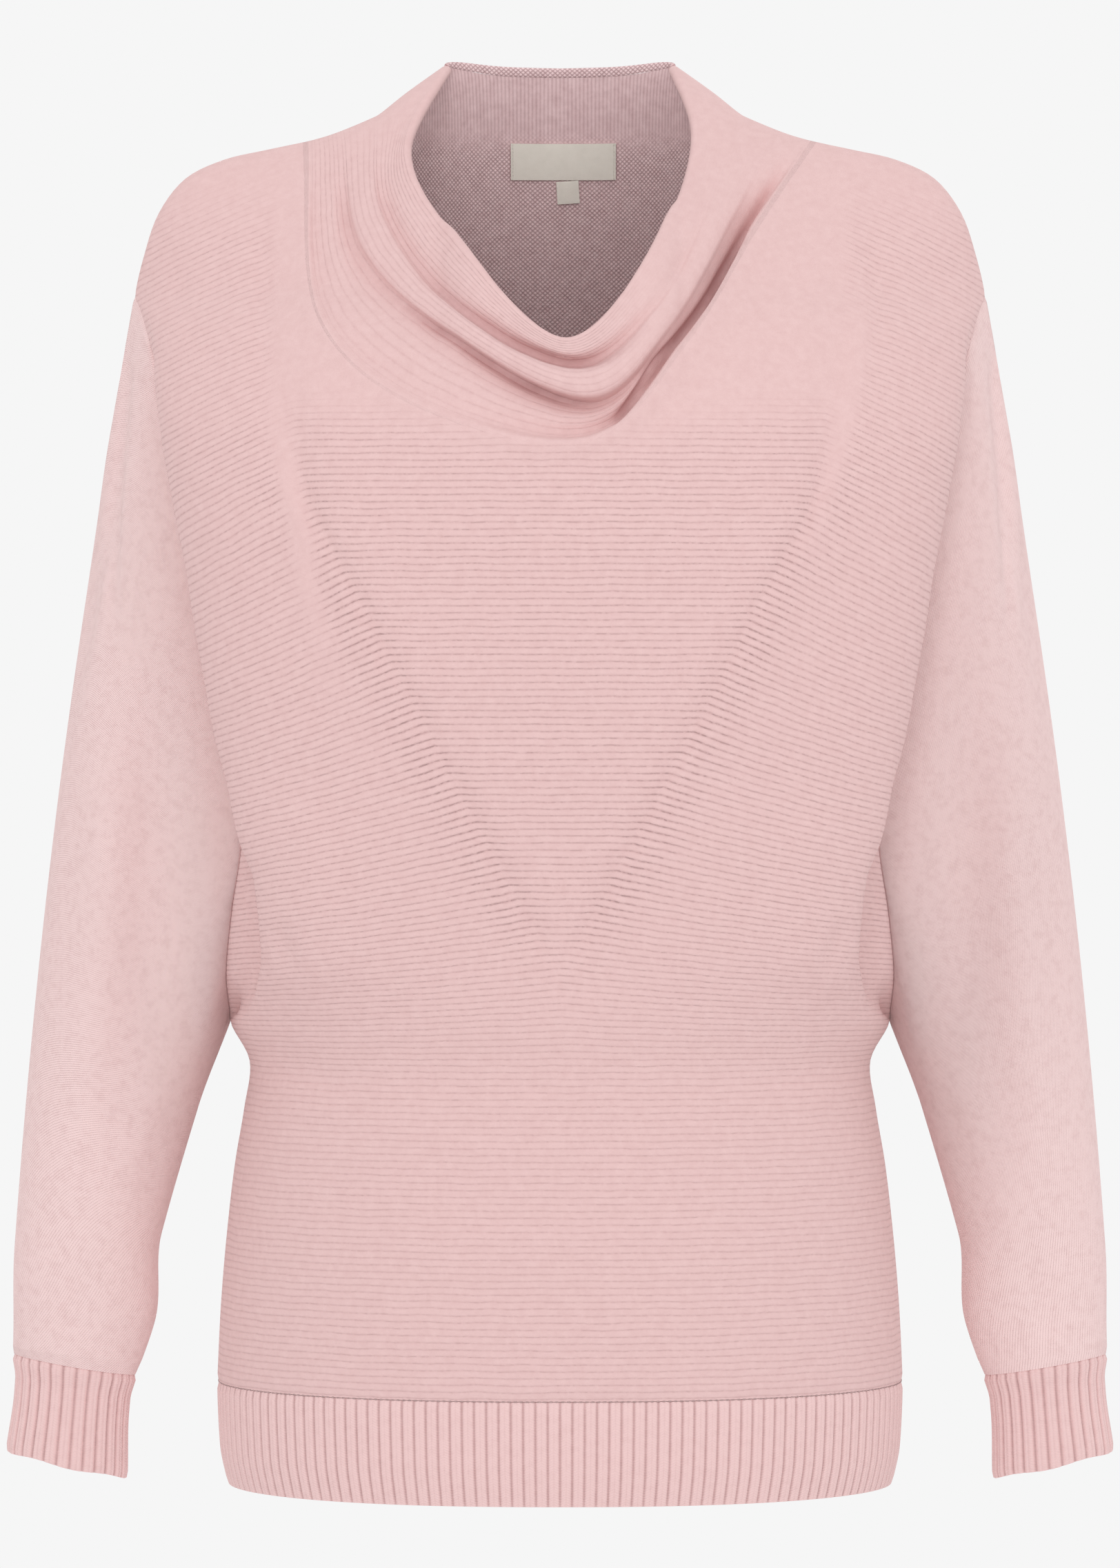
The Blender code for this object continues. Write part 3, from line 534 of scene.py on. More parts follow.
@dataclass
class Wall:
    """A closed cloth wall between two matching grids of points."""

    name: str
    outer: Array
    inner: Array
    uv: Array
    ring: bool = False
    marks: dict[str, Array] = field(default_factory=dict)

    def quads(self) -> tuple[Array, Array, Array]:
        """Faces as points, the places of their corners on the knit, and their material numbers."""
        rows, columns = self.outer.shape[:2]
        width = columns + 1 if self.ring else columns
        shift = rows * columns
        r, c = np.meshgrid(np.arange(rows - 1), np.arange(width - 1), indexing="ij")

        def point(row: Array, column: Array) -> Array:
            return row * columns + column % columns

        corners = ((r, c), (r, c + 1), (r + 1, c + 1), (r + 1, c))
        face = np.stack([point(*k).ravel() for k in corners], axis=1)
        place = np.stack([(k[0] * width + k[1]).ravel() for k in corners], axis=1)
        faces = [face, face[:, ::-1] + shift]
        places = [place, place[:, ::-1]]
        numbers = [np.zeros(len(face), int), np.ones(len(face), int)]
        c = np.arange(width - 1)
        last = np.full_like(c, rows - 1)
        edges = [((0 * c, c + 1), (0 * c, c)), ((last, c), (last, c + 1))]
        if not self.ring:
            r = np.arange(rows - 1)
            side = np.full_like(r, columns - 1)
            edges += [((r, 0 * r), (r + 1, 0 * r)), ((r + 1, side), (r, side))]
        for one, two in edges:
            a, b = point(*one), point(*two)
            faces.append(np.stack([a, b, b + shift, a + shift], axis=1))
            u, v = one[0] * width + one[1], two[0] * width + two[1]
            places.append(np.stack([u, v, v, u], axis=1))
            numbers.append(np.zeros(len(a), int))
        return np.concatenate(faces), np.concatenate(places), np.concatenate(numbers)

    def build(self, face: Material, lining: Material) -> Piece:
        """Make the mesh.

        Args:
            face: Finish of the outside and of the edges.
            lining: Finish of the inside.

        Returns:
            The new object, at the origin.
        """
        faces, places, numbers = self.quads()
        points = np.concatenate([self.outer.reshape(-1, 3), self.inner.reshape(-1, 3)]) * MM
        mesh = bpy.data.meshes.new(self.name)
        mesh.from_pydata(points.tolist(), [], faces.tolist())
        layer = mesh.uv_layers.new(name=UV_NAME)
        layer.data.foreach_set("uv", self.uv.reshape(-1, 2)[places].ravel() * MM)
        mesh.polygons.foreach_set("material_index", numbers)
        for name, values in self.marks.items():
            kind = "FLOAT_VECTOR" if values.ndim == 3 else "FLOAT"
            mark = mesh.attributes.new(name, kind, "POINT")
            both = np.concatenate([values.reshape(-1, *values.shape[2:])] * 2)
            if name == "raised":
                both[len(both) // 2:] = 0
            mark.data.foreach_set("vector" if kind == "FLOAT_VECTOR" else "value", both.ravel())
        mesh.materials.append(face)
        mesh.materials.append(lining)
        mesh.shade_smooth()
        mesh.set_sharp_from_angle(angle=SHARP_ANGLE)
        mesh.update()
        piece = bpy.data.objects.new(self.name, mesh)
        bpy.context.scene.collection.objects.link(piece)
        return piece


def carried(piece: Piece, slot: Slot, *nodes: str) -> Piece:
    """Let a piece ride with the sweater, hide the CAD nodes that it stands for, and log its size."""
    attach(piece, "root")
    if nodes:
        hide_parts(*nodes)
    mesh = piece.data
    mesh.calc_loop_triangles()
    area = sum(face.area for face in mesh.polygons)
    log.info("%s: %d triangles, %.4f square metres", piece.name, len(mesh.loop_triangles), area)
    return piece


class Graph:
    """A node tree that is built node by node."""

    def __init__(self, tree: bpy.types.NodeTree) -> None:
        """Start from an empty tree."""
        self.tree = tree
        tree.nodes.clear()

    def node(self, kind: str, inputs: dict | None = None, **settings: object) -> bpy.types.Node:
        """Add a node.

        Args:
            kind: Blender's name for the node.
            inputs: Sockets by name or number, each with a value or the socket that feeds it.
            settings: The node's own options.

        Returns:
            The new node.
        """
        made = self.tree.nodes.new(kind)
        for key, value in settings.items():
            setattr(made, key, value)
        for key, value in (inputs or {}).items():
            if isinstance(value, Socket):
                self.tree.links.new(value, made.inputs[key])
            else:
                made.inputs[key].default_value = value
        return made

    def math(self, operation: str, *values: Socket | float) -> Socket:
        """Combine numbers by one operation."""
        return self.node("ShaderNodeMath", dict(enumerate(values)), operation=operation).outputs[0]

    def ranged(self, value: Socket, low: float, high: float, at_low: float, at_high: float) -> Socket:
        """Map a range of a value to another range, smoothly."""
        inputs = {"Value": value, "From Min": low, "From Max": high, "To Min": at_low, "To Max": at_high}
        made = self.node("ShaderNodeMapRange", inputs, interpolation_type="SMOOTHSTEP")
        return made.outputs["Result"]


@dataclass(frozen=True)
class Finish:
    """A cloth finish: its pale and deep colours, its sheen and the depth of its stitches."""

    name: str
    pale: tuple[float, float, float]
    deep: tuple[float, float, float]
    relief: float = 0.0004
    sheen: float = 0.18
    mottle: float = 0.35

    def stitches(self, graph: Graph, u: Socket, v: Socket, place: Socket) -> tuple[Socket, Socket]:
        """Height of the stitches and how deep the colour is, both from 0 to 1; the colour deepens in the low places
        as painted shade.
        """
        raise NotImplementedError

    def build(self) -> Material:
        """Make the material."""
        material = bpy.data.materials.new(self.name)
        material.use_nodes = True
        graph = Graph(material.node_tree)
        uv = graph.node("ShaderNodeUVMap", uv_map=UV_NAME).outputs["UV"]
        split = graph.node("ShaderNodeSeparateXYZ", {"Vector": uv})
        place = graph.node("ShaderNodeTexCoord").outputs["Object"]
        height, shade = self.stitches(graph, split.outputs["X"], split.outputs["Y"], place)
        cloud = graph.node("ShaderNodeTexNoise", {"Vector": place, "Scale": 210.0, "Detail": 4.0, "Roughness": 0.65})
        fleck = graph.math("MULTIPLY", graph.math("SUBTRACT", cloud.outputs["Fac"], 0.5), self.mottle * 2)
        # Painted shade from the stitches, with random mottling, sets the mix of pale and deep colour.
        factor = graph.math("ADD", shade, fleck)
        factor = graph.node("ShaderNodeClamp", {"Value": factor}).outputs[0]
        colour = self.mixed(graph, factor)
        fuzz = graph.node("ShaderNodeTexNoise", {"Vector": place, "Scale": 1900.0, "Detail": 2.0})
        rough = graph.ranged(fuzz.outputs["Fac"], 0.2, 0.8, 0.8, 0.96)
        height = graph.math("ADD", height, graph.math("MULTIPLY", fuzz.outputs["Fac"], 0.22))
        bump = graph.node("ShaderNodeBump", {"Strength": 1.0, "Distance": self.relief, "Height": height})
        shader = graph.node(
            "ShaderNodeBsdfPrincipled",
            {
                "Base Color": colour,
                "Roughness": rough,
                "Normal": bump.outputs["Normal"],
                "Specular IOR Level": 0.15,
                "Sheen Weight": self.sheen,
                "Sheen Roughness": 0.55,
                "Sheen Tint": (1.0, 0.9, 0.88, 1.0),
            },
        )
        graph.node("ShaderNodeOutputMaterial", {"Surface": shader.outputs["BSDF"]})
        return material

    def mixed(self, graph: Graph, factor: Socket) -> Socket:
        """Blend the pale and the deep colour."""
        mix = graph.node("ShaderNodeMix", data_type="RGBA")
        colours = [socket for socket in mix.inputs if socket.type == "RGBA"]
        colours[0].default_value = (*self.pale, 1.0)
        colours[1].default_value = (*self.deep, 1.0)
        graph.tree.links.new(factor, next(socket for socket in mix.inputs if socket.name == "Factor"))
        return next(socket for socket in mix.outputs if socket.type == "RGBA")


@dataclass(frozen=True)
class RippleKnit(Finish):
    """Rounded courses with narrow grooves between them, as strong as the surface's ribbing mark says, and painted
    shade that deepens the colour in the grooves and in the cowl's crevices.
    """

    pitch: float = 0.0034
    groove: float = 3.5

    def stitches(self, graph: Graph, u: Socket, v: Socket, place: Socket) -> tuple[Socket, Socket]:
        """Height of the courses, and how deep the colour is, with painted shade in the grooves and the crevices."""
        sway = graph.node("ShaderNodeTexNoise", {"Vector": place, "Scale": 55.0, "Detail": 2.0}).outputs["Fac"]
        v = graph.math("ADD", v, graph.math("MULTIPLY", graph.math("SUBTRACT", sway, 0.5), self.pitch * 0.5))
        phase = graph.math("FRACT", graph.math("DIVIDE", v, self.pitch))
        away = graph.math("ABSOLUTE", graph.math("SUBTRACT", graph.math("MULTIPLY", phase, 2.0), 1.0))
        strength = graph.node("ShaderNodeAttribute", attribute_name="ribbing").outputs["Fac"]
        stretched = graph.node("ShaderNodeCombineXYZ", {"X": graph.math("MULTIPLY", u, 420.0)})
        graph.tree.links.new(graph.math("MULTIPLY", v, 900.0), stretched.inputs["Y"])
        broken = graph.node("ShaderNodeTexNoise", {"Vector": stretched.outputs[0], "Scale": 1.0, "Detail": 2.0})
        uneven = graph.ranged(broken.outputs["Fac"], 0.3, 0.7, 0.55, 1.1)
        groove = graph.math("MULTIPLY", graph.math("POWER", away, self.groove), strength)
        groove = graph.math("MULTIPLY", groove, uneven)
        height = graph.math("ADD", graph.math("SUBTRACT", 1.0, groove), graph.math("MULTIPLY", uneven, 0.12))
        # Painted shade: the crevice mark and the grooves between courses deepen the colour where shade falls; 0.12 is
        # an even share of the deep colour everywhere.
        painted_crevice_shade = graph.node("ShaderNodeAttribute", attribute_name="painted_crevice_shade").outputs["Fac"]
        deep = graph.math("MULTIPLY_ADD", groove, 0.75, graph.math("MULTIPLY_ADD", painted_crevice_shade, 1.1, 0.12))
        return height, deep


@dataclass(frozen=True)
class Jersey(Finish):
    """Fine plain knit: wales of small V stitches, with painted shade that deepens the colour between the wales."""

    wale: float = 0.0014
    course: float = 0.0011
    base: float = 0.02

    def stitches(self, graph: Graph, u: Socket, v: Socket, place: Socket) -> tuple[Socket, Socket]:
        """Height of the stitches and how deep the colour is."""
        phase = graph.math("FRACT", graph.math("DIVIDE", u, self.wale))
        away = graph.math("ABSOLUTE", graph.math("SUBTRACT", graph.math("MULTIPLY", phase, 2.0), 1.0))
        turn = graph.math("ADD", graph.math("DIVIDE", v, self.course), graph.math("MULTIPLY", away, 0.5))
        loop = graph.math("SINE", graph.math("MULTIPLY", turn, math.tau))
        height = graph.math("SUBTRACT", graph.math("MULTIPLY_ADD", loop, 0.2, 0.7), graph.math("POWER", away, 5.0))
        # Painted shade: the colour deepens towards the dip between wales; the base is an even share of the deep
        # colour.
        return height, graph.math("MULTIPLY_ADD", graph.math("POWER", away, 4.0), 0.22, self.base)


@dataclass(frozen=True)
class ReverseKnit(Finish):
    """The purl side: rows of small bumps set off from each other, and upright lines near the neck, with painted shade
    that deepens the colour where the surface is low.
    """

    pitch: float = 0.0026
    line_z: float = -0.006
    line_reach: float = 0.02

    def stitches(self, graph: Graph, u: Socket, v: Socket, place: Socket) -> tuple[Socket, Socket]:
        """Height of the bumps and how deep the colour is."""
        a = graph.math("MULTIPLY", u, math.pi / self.pitch)
        b = graph.math("MULTIPLY", v, math.pi / self.pitch * 1.15)
        one = graph.math("ABSOLUTE", graph.math("SINE", graph.math("ADD", a, b)))
        two = graph.math("ABSOLUTE", graph.math("SINE", graph.math("SUBTRACT", a, b)))
        bumps = graph.math("POWER", graph.math("MULTIPLY", one, two), 0.6)
        lines = graph.math("ABSOLUTE", graph.math("SINE", graph.math("MULTIPLY", a, 1.25)))
        z = graph.node("ShaderNodeSeparateXYZ", {"Vector": place}).outputs["Z"]
        share = graph.ranged(z, self.line_z, self.line_z + self.line_reach, 0.0, 1.0)
        smooth = graph.math("MULTIPLY_ADD", lines, 0.35, 0.3)
        gap = graph.math("MULTIPLY", graph.math("SUBTRACT", smooth, bumps), share)
        height = graph.math("ADD", bumps, gap)
        # Painted shade: the colour deepens where the surface is low, between the bumps.
        return height, graph.math("MULTIPLY_ADD", height, -0.95, 0.95)


@dataclass(frozen=True)
class RibKnit(Finish):
    """Rib knit, with painted shade that deepens the colour in the grooves between the raised wales and in the notch
    between each rib's two wales.
    """

    pitch: float = 0.0058

    def stitches(self, graph: Graph, u: Socket, v: Socket, place: Socket) -> tuple[Socket, Socket]:
        """Height of the stitches and how deep the colour is."""
        phase = graph.math("FRACT", graph.math("DIVIDE", u, self.pitch))
        away = graph.math("ABSOLUTE", graph.math("SUBTRACT", graph.math("MULTIPLY", phase, 2.0), 1.0))
        groove = graph.ranged(away, 0.62, 1.0, 0.0, 1.0)
        notch = graph.ranged(away, 0.0, 0.2, 1.0, 0.0)
        turn = graph.math("ADD", graph.math("DIVIDE", v, 0.0013), graph.math("MULTIPLY", away, 1.0))
        loop = graph.math("SINE", graph.math("MULTIPLY", turn, math.tau))
        # Painted shade: the colour deepens in the grooves and the notches, where shade falls.
        deep = graph.math("MULTIPLY_ADD", groove, 0.8, graph.math("MULTIPLY_ADD", notch, 0.2, 0.0))
        return graph.math("MULTIPLY_ADD", loop, 0.3, 0.5), deep


@dataclass(frozen=True)
class Tape(Finish):
    """Woven tape: threads that pass over and under each other, with painted shade where they dip."""

    thread: float = 0.0006

    def stitches(self, graph: Graph, u: Socket, v: Socket, place: Socket) -> tuple[Socket, Socket]:
        """Height of the threads and how deep the colour is."""
        a = graph.math("SINE", graph.math("MULTIPLY", u, math.tau / self.thread))
        b = graph.math("SINE", graph.math("MULTIPLY", v, math.tau / self.thread))
        weave = graph.math("MULTIPLY_ADD", graph.math("MULTIPLY", a, b), 0.5, 0.5)
        # Painted shade: the colour deepens where the weave is low.
        return weave, graph.math("MULTIPLY_ADD", weave, -0.25, 0.3)


@dataclass(frozen=True)
class Finishes:
    """Every finish on the sweater, made once."""

    ripple: Material
    inside: Material
    jersey: Material
    rib: Material
    band: Material
    tape: Material

    @classmethod
    def make(cls) -> "Finishes":
        """Make the materials."""
        pale = (0.80, 0.555, 0.545)
        deep = (0.63, 0.385, 0.38)
        # Painted light: the inside colour is paler than the yarn's own, standing in for light that does not reach the
        # inside; the neck band uses it too.
        mauve_with_painted_light = (0.97, 0.74, 0.745)
        dusk = (0.50, 0.30, 0.31)
        return cls(
            ripple=RippleKnit("ripple_knit_face", pale, deep, relief=0.0006).build(),
            inside=ReverseKnit("reverse_knit", mauve_with_painted_light, dusk, relief=0.0004, sheen=0.1).build(),
            jersey=Jersey("plain_knit_face", (0.90, 0.67, 0.66), deep, relief=0.00016, mottle=0.5).build(),
            rib=RibKnit("rib_knit_face", (0.86, 0.60, 0.59), deep, relief=0.0002).build(),
            band=ReverseKnit("neck_band_knit", mauve_with_painted_light, dusk, relief=0.0003, line_z=1.0).build(),
            tape=Tape("cream_tape", (0.93, 0.88, 0.79), (0.76, 0.71, 0.62), relief=0.0001, sheen=0.05).build(),
        )


@dataclass
class Shell:
    """The trunk and the right sleeve as dense surfaces that meet at their seams."""

    form: TrunkForm
    cowl: Cowl
    front_columns: int = 150
    back_columns: int = 110
    row_pitch: float = 3.4
    cowl_pitch: float = 1.6
    back_neck_z: float = 38.0
    back_row_ease: float = 1.15

    def __post_init__(self) -> None:
        """Work out every surface."""
        front_guide = self.front_guides()
        back_guide = self.back_guides()
        gaps = np.linalg.norm(np.diff(front_guide, axis=0), axis=2)
        pitch = np.full(len(gaps), self.row_pitch)
        pitch[1 - len(self.cowl.rows):] = self.cowl_pitch
        steps = np.maximum(2, np.round(np.percentile(gaps, 70, axis=1) / pitch)).astype(int)
        self.at = np.concatenate([[0.0], *[i + np.arange(1, n + 1) / n for i, n in enumerate(steps)]])
        self.front = between_rows(front_guide, self.at)
        self.back = between_rows(back_guide, self.at)
        self.rim_down = unit(front_guide[-2] - front_guide[-1])
        self.underarm = int(np.searchsorted(self.at, len(self.form.side_levels) - 1e-6))
        self.point = int(np.searchsorted(self.at, len(self.form.side_levels) + self.form.armhole_steps - 1e-6))
        self.lip = int(np.searchsorted(self.at, len(front_guide) - len(self.cowl.rows) - 1e-6))

    def seam_shares(self) -> list[float]:
        """Shares of the shoulder seam at which the guide rows of the front and back meet."""
        ends = {name: self.form.seam_share(x) for name, x, _ in self.cowl.folds}
        steps = self.form.yoke_steps
        shares = [ends["lip"] * k / (steps + 1) for k in range(1, steps + 1)]
        for row in self.cowl.rows:
            shares.append(ends[row.lower] + (ends[row.upper] - ends[row.lower]) * row.share)
        return shares

    def placed(self, flat: Array, share: float, side: Side, added: Array | float) -> Array:
        """Give a row seen from the front its depth, and bring its ends onto the shoulder seam.

        Args:
            flat: The row as seen from the front.
            share: Where its ends are on the shoulder seam.
            side: Which half of the trunk.
            added: Depth added towards the viewer.

        Returns:
            The row in space.
        """
        count = len(flat) // 2
        s = np.abs(np.linspace(-1, 1, 2 * count + 1))
        end = self.form.seam_end(share)
        x = flat[:, 0].copy()
        z = flat[:, 1].copy()
        x[:count] += (-end[0] - x[0]) * s[:count] ** 4
        x[count:] += (end[0] - x[-1]) * s[count:] ** 4
        z += (end[2] - z[-1]) * s**4
        row = np.stack([x, self.form.depth(x, z, side) - added, z], axis=1)
        row[0] = end * MIRROR
        row[-1] = end
        return row

    def front_guides(self) -> Array:
        """The front's guide rows from the hem seam to the turned edge of the cowl."""
        shares = self.form.spread(self.front_columns)
        rows = [both_halves(self.form.level_half(z, edge, Side.FRONT, shares)) for z, edge in self.form.levels()]
        start = rows[-1][:, [0, 2]]
        ends = self.seam_shares()
        steps = self.form.yoke_steps
        lip, _ = self.cowl.fold("lip", self.form, shares)
        for k in range(1, steps + 1):
            rows.append(self.placed(start + (lip - start) * k / (steps + 1), ends[k - 1], Side.FRONT, 0.0))
        for end, row in zip(ends[steps:], self.cowl.rows):
            low, _ = self.cowl.fold(row.lower, self.form, shares)
            high, _ = self.cowl.fold(row.upper, self.form, shares)
            flat = low + (high - low) * row.share
            rows.append(self.placed(flat, end, Side.FRONT, self.cowl.depths(flat, row)))
        return np.array(rows)

    def back_guides(self) -> Array:
        """The back's guide rows from the hem seam to the neck edge."""
        shares = self.form.spread(self.back_columns)
        rows = [both_halves(self.form.level_half(z, edge, Side.BACK, shares)) for z, edge in self.form.levels()]
        start = rows[-1][:, [0, 2]]
        end = self.form.seam_end(1.0)
        neck = [(0, self.back_neck_z), (0.6 * end[0], self.back_neck_z + 0.8), (end[0], end[2])]
        right = divided(through(np.array(neck), DENSE), shares)
        neck = np.concatenate([right[:0:-1] * MIRROR[[0, 2]], right])
        for share in self.seam_shares():
            rows.append(self.placed(start + (neck - start) * share**self.back_row_ease, share, Side.BACK, 0.0))
        return np.array(rows)

    def armhole(self) -> tuple[Array, Array]:
        """The right armhole's seam points and how far round the sleeve each lies, as an angle."""
        down = self.front[self.point:self.underarm - 1:-1, -1]
        up = self.back[self.underarm + 1:self.point, -1]
        steps = self.form.armhole_steps
        turn = self.at[self.point] - self.at[self.point:self.underarm - 1:-1]
        back_turn = steps + self.at[self.underarm + 1:self.point] - self.at[self.underarm]
        around = -math.pi * np.concatenate([turn, back_turn]) / steps
        return np.concatenate([down, up]), around

    def shared_normals(self, sleeve: Array) -> tuple[Array, Array, Array]:
        """Outward directions of the front, back and right sleeve, the same for two pieces where they meet.

        Args:
            sleeve: The right sleeve's outer surface.

        Returns:
            The directions of the front, the back and the sleeve.
        """
        front = grid_normals(self.front)
        back = -grid_normals(self.back)
        arm = grid_normals(sleeve, closed=True)
        for edge in (0, -1):
            shared = unit(front[:, edge] + back[:, edge])
            front[:, edge] = shared
            back[:, edge] = shared
        low, high = self.underarm, self.point
        ring = np.concatenate([front[high:low - 1:-1, -1], back[low + 1:high, -1]])
        shared = unit(ring + arm[0])
        arm[0] = shared
        down, up = shared[:high - low + 1][::-1], shared[high - low + 1:]
        front[low:high + 1, -1] = down
        front[low:high + 1, 0] = down * MIRROR
        back[low + 1:high, -1] = up
        back[low + 1:high, 0] = up * MIRROR
        for row in (low, high):
            back[row, [0, -1]] = front[row, [0, -1]]
        for normals in (front, back):
            normals[0, :, 2] = 0
            normals[0] = unit(normals[0])
        return front, back, arm


def drawn_in(outer: Array, rows: tuple[int, ...], sides: bool, normals: Array, dip: float = 0.7) -> None:
    """Sink the outside of a wall a little along its seams, so that each shows as a soft groove.

    Args:
        outer: The outer surface, which is changed.
        rows: Edge rows that are seams.
        sides: Whether both sides are seams too.
        normals: Outward directions.
        dip: Depth of the groove.
    """
    for row in rows:
        outer[row] -= normals[row] * dip
    if sides:
        outer[:, 0] -= normals[:, 0] * dip
        outer[:, -1] -= normals[:, -1] * dip


def knit_lengths(grid: Array, ring: bool = False) -> tuple[Array, Array]:
    """Lengths along the rows from the middle column, and up the columns from the first row.

    Args:
        grid: Rows of points.
        ring: Whether each row is a ring, which then gets one more column.

    Returns:
        The lengths along the rows and up the columns.
    """
    if ring:
        grid = np.concatenate([grid, grid[:, :1]], axis=1)
    across = np.linalg.norm(np.diff(grid, axis=1), axis=2)
    along = np.concatenate([np.zeros((len(grid), 1)), np.cumsum(across, axis=1)], axis=1)
    if not ring:
        along -= along[:, [grid.shape[1] // 2]]
    up = np.linalg.norm(np.diff(grid, axis=0), axis=2)
    rise = np.concatenate([np.zeros((1, grid.shape[1])), np.cumsum(up, axis=0)])
    return along, rise


@dataclass
class FrontPanel:
    """The ripple-knit front: a V of level courses, side panels of slanted ones and the cowl."""

    shell: Shell
    flat: tuple[float, float] = (0.56, 0.80)
    cut_area: float = 0.34
    miter: Table = Table(
        ("z", "x"),
        (
            (-422.0, 0.0),
            (-390.0, 17.0),
            (-352.0, 39.0),
            (-295.0, 69.0),
            (-271.0, 81.0),
            (-245.0, 94.0),
            (-211.0, 112.0),
            (-181.0, 126.0),
            (-120.0, 132.0),
            (0.0, 133.0),
        ),
    )
    slant: Table = Table(("z", "slope"), ((-470.0, 0.0), (-350.0, 0.24), (-250.0, 0.38), (-140.0, 0.44), (0.0, 0.44)))
    ridges: tuple[Crease, ...] = (
        Crease(((-139.0, -120.0), (-138.0, -147.0), (-134.0, -173.0), (-126.0, -212.0), (-122.0, -238.0),
                (-116.0, -257.0), (-112.0, -276.0), (-100.0, -315.0)), 5.5, 0.9, 0.3, 0.7),
        Crease(((150.0, -60.0), (149.0, -100.0), (144.0, -127.0), (136.0, -164.0), (124.0, -212.0),
                (112.0, -262.0)), 5.5, 0.9, 0.3, 0.7),
    )
    creases: tuple[Crease, ...] = (
        Crease(((-133.0, -150.0), (-124.0, -190.0), (-103.0, -228.0), (-81.0, -271.0), (-55.0, -320.0),
                (-24.0, -378.0), (-2.0, -421.0)), 4.4, -1.9, 0.15, 0.1),
        Crease(((131.0, -150.0), (126.0, -186.0), (105.0, -226.0), (81.0, -271.0), (54.0, -322.0),
                (24.0, -378.0), (2.0, -421.0)), 4.4, -1.9, 0.15, 0.1),
        Crease(((-151.0, -30.0), (-148.0, -90.0), (-147.0, -160.0)), 6.0, -1.4, 0.3, 0.4),
        Crease(((158.0, -30.0), (158.0, -95.0), (151.0, -150.0)), 6.0, -1.4, 0.3, 0.4),
        Crease(((-142.0, -392.0), (-134.0, -413.0), (-128.0, -430.0)), 5.0, -2.2, 0.3, 0.6),
        Crease(((142.0, -392.0), (134.0, -413.0), (129.0, -428.0)), 5.0, -2.2, 0.3, 0.6),
        Crease(((-150.0, -462.0), (-118.0, -474.0), (-80.0, -478.0)), 9.0, -1.2, 0.3, 0.6),
        Crease(((150.0, -462.0), (116.0, -472.0), (86.0, -474.0)), 9.0, -1.0, 0.3, 0.6),
    )

    # The cowl's crevices: troughs sunk into the surface, which also set the painted shade that deepens the colour in
    # them.
    crevices: tuple[Crease, ...] = (
        Crease(((-90.0, -78.0), (-78.0, -90.0), (-66.0, -100.0), (-53.0, -109.0), (-36.0, -121.0), (-18.0, -132.0),
                (7.0, -141.0), (25.0, -140.0)), 1.7, -2.2, 0.45, 0.3),
        Crease(((96.0, -44.0), (92.0, -52.0), (82.0, -71.0), (72.0, -89.0), (59.0, -107.0), (45.0, -123.0),
                (35.0, -140.0), (23.0, -156.0)), 1.7, -2.6, 0.3, 0.12),
        Crease(((-85.0, -49.0), (-68.0, -76.0), (-51.0, -92.0), (-38.0, -102.0), (-23.0, -112.0), (7.0, -122.0),
                (24.0, -119.0), (40.0, -105.0), (47.0, -96.0)), 2.6, -1.6, 0.35, 0.3),
    )

    def painted_crevice_shade(self, grid: Array) -> Array:
        """Painted shade for the cowl's crevices: how deep each point lies in a crevice, from 0 to 1, which deepens
        the knit's colour there.
        """
        deepest = min(crevice.height for crevice in self.crevices)
        return np.clip(sum(crevice.offset(grid) for crevice in self.crevices) / deepest, 0, 1)

    def courses(self, grid: Array) -> Array:
        """Height of each point on the knit, which is the same all along one course."""
        x = np.abs(grid[..., 0])
        z = grid[..., 2]
        outside = np.clip(x - self.miter.read("x", z), 0, None)
        course = z + self.slant.read("slope", z) * outside
        lip = self.shell.lip
        _, rise = knit_lengths(grid)
        rolls = rise[lip:].mean(axis=1) - rise[lip].mean()
        course[lip:] = grid[lip, grid.shape[1] // 2, 2] + rolls[:, None]
        return course

    def ribbing(self, grid: Array) -> Array:
        """How strongly the courses stand out at each point, from 0 to 1."""
        x = grid[..., 0]
        z = grid[..., 2]
        strength = 0.5 + 0.16 * smooth_step((z + 480) / 110)
        top = -128.0 - 20 * np.exp(-((x / 70.0) ** 2))
        chest = 1 - smooth_step((z - top + 30) / 30)
        panel = smooth_step((np.abs(x) - self.miter.read("x", z) - 4) / 14)
        chest = np.maximum(chest, panel * 0.85 * (1 - smooth_step((z + 62) / 50)))
        strength = strength * chest
        line = np.exp(-(((np.abs(x) - self.miter.read("x", z) - 7) / 14) ** 2))
        strength *= 1 + 0.7 * line * smooth_step((-150 - z) / 40) * smooth_step((z + 440) / 60)
        lip = self.shell.lip
        share = self.shell.at[lip:] - self.shell.at[lip]
        left = 0.4 - 0.34 * smooth_step((x[lip:] - 10) / 40)
        strength[lip:] = left * smooth_step(share[:, None] / 1.5) * (1 - smooth_step((z[lip:] + 20) / 40))
        for ridge in self.ridges:
            strength *= 1 - np.clip(ridge.offset(grid) / ridge.height * 1.3, 0, 1)
        return strength

    def dressed(self, normals: Array) -> tuple[Array, Array]:
        """The outer surface with its creases laid on, and its directions."""
        grid = self.shell.front.copy()
        facing = np.clip(-normals[..., 1] * 2, 0, 1)
        lift = sum(crease.offset(grid) for crease in (*self.ridges, *self.creases))
        lift = lift * facing
        lift[:, [0, -1]] = 0
        lift[self.shell.lip:] = 0
        lift[self.shell.lip - 6:self.shell.lip] *= np.linspace(1, 0, 6)[:, None]
        lift += sum(crevice.offset(grid) for crevice in self.crevices)
        return grid + normals * lift[..., None], normals

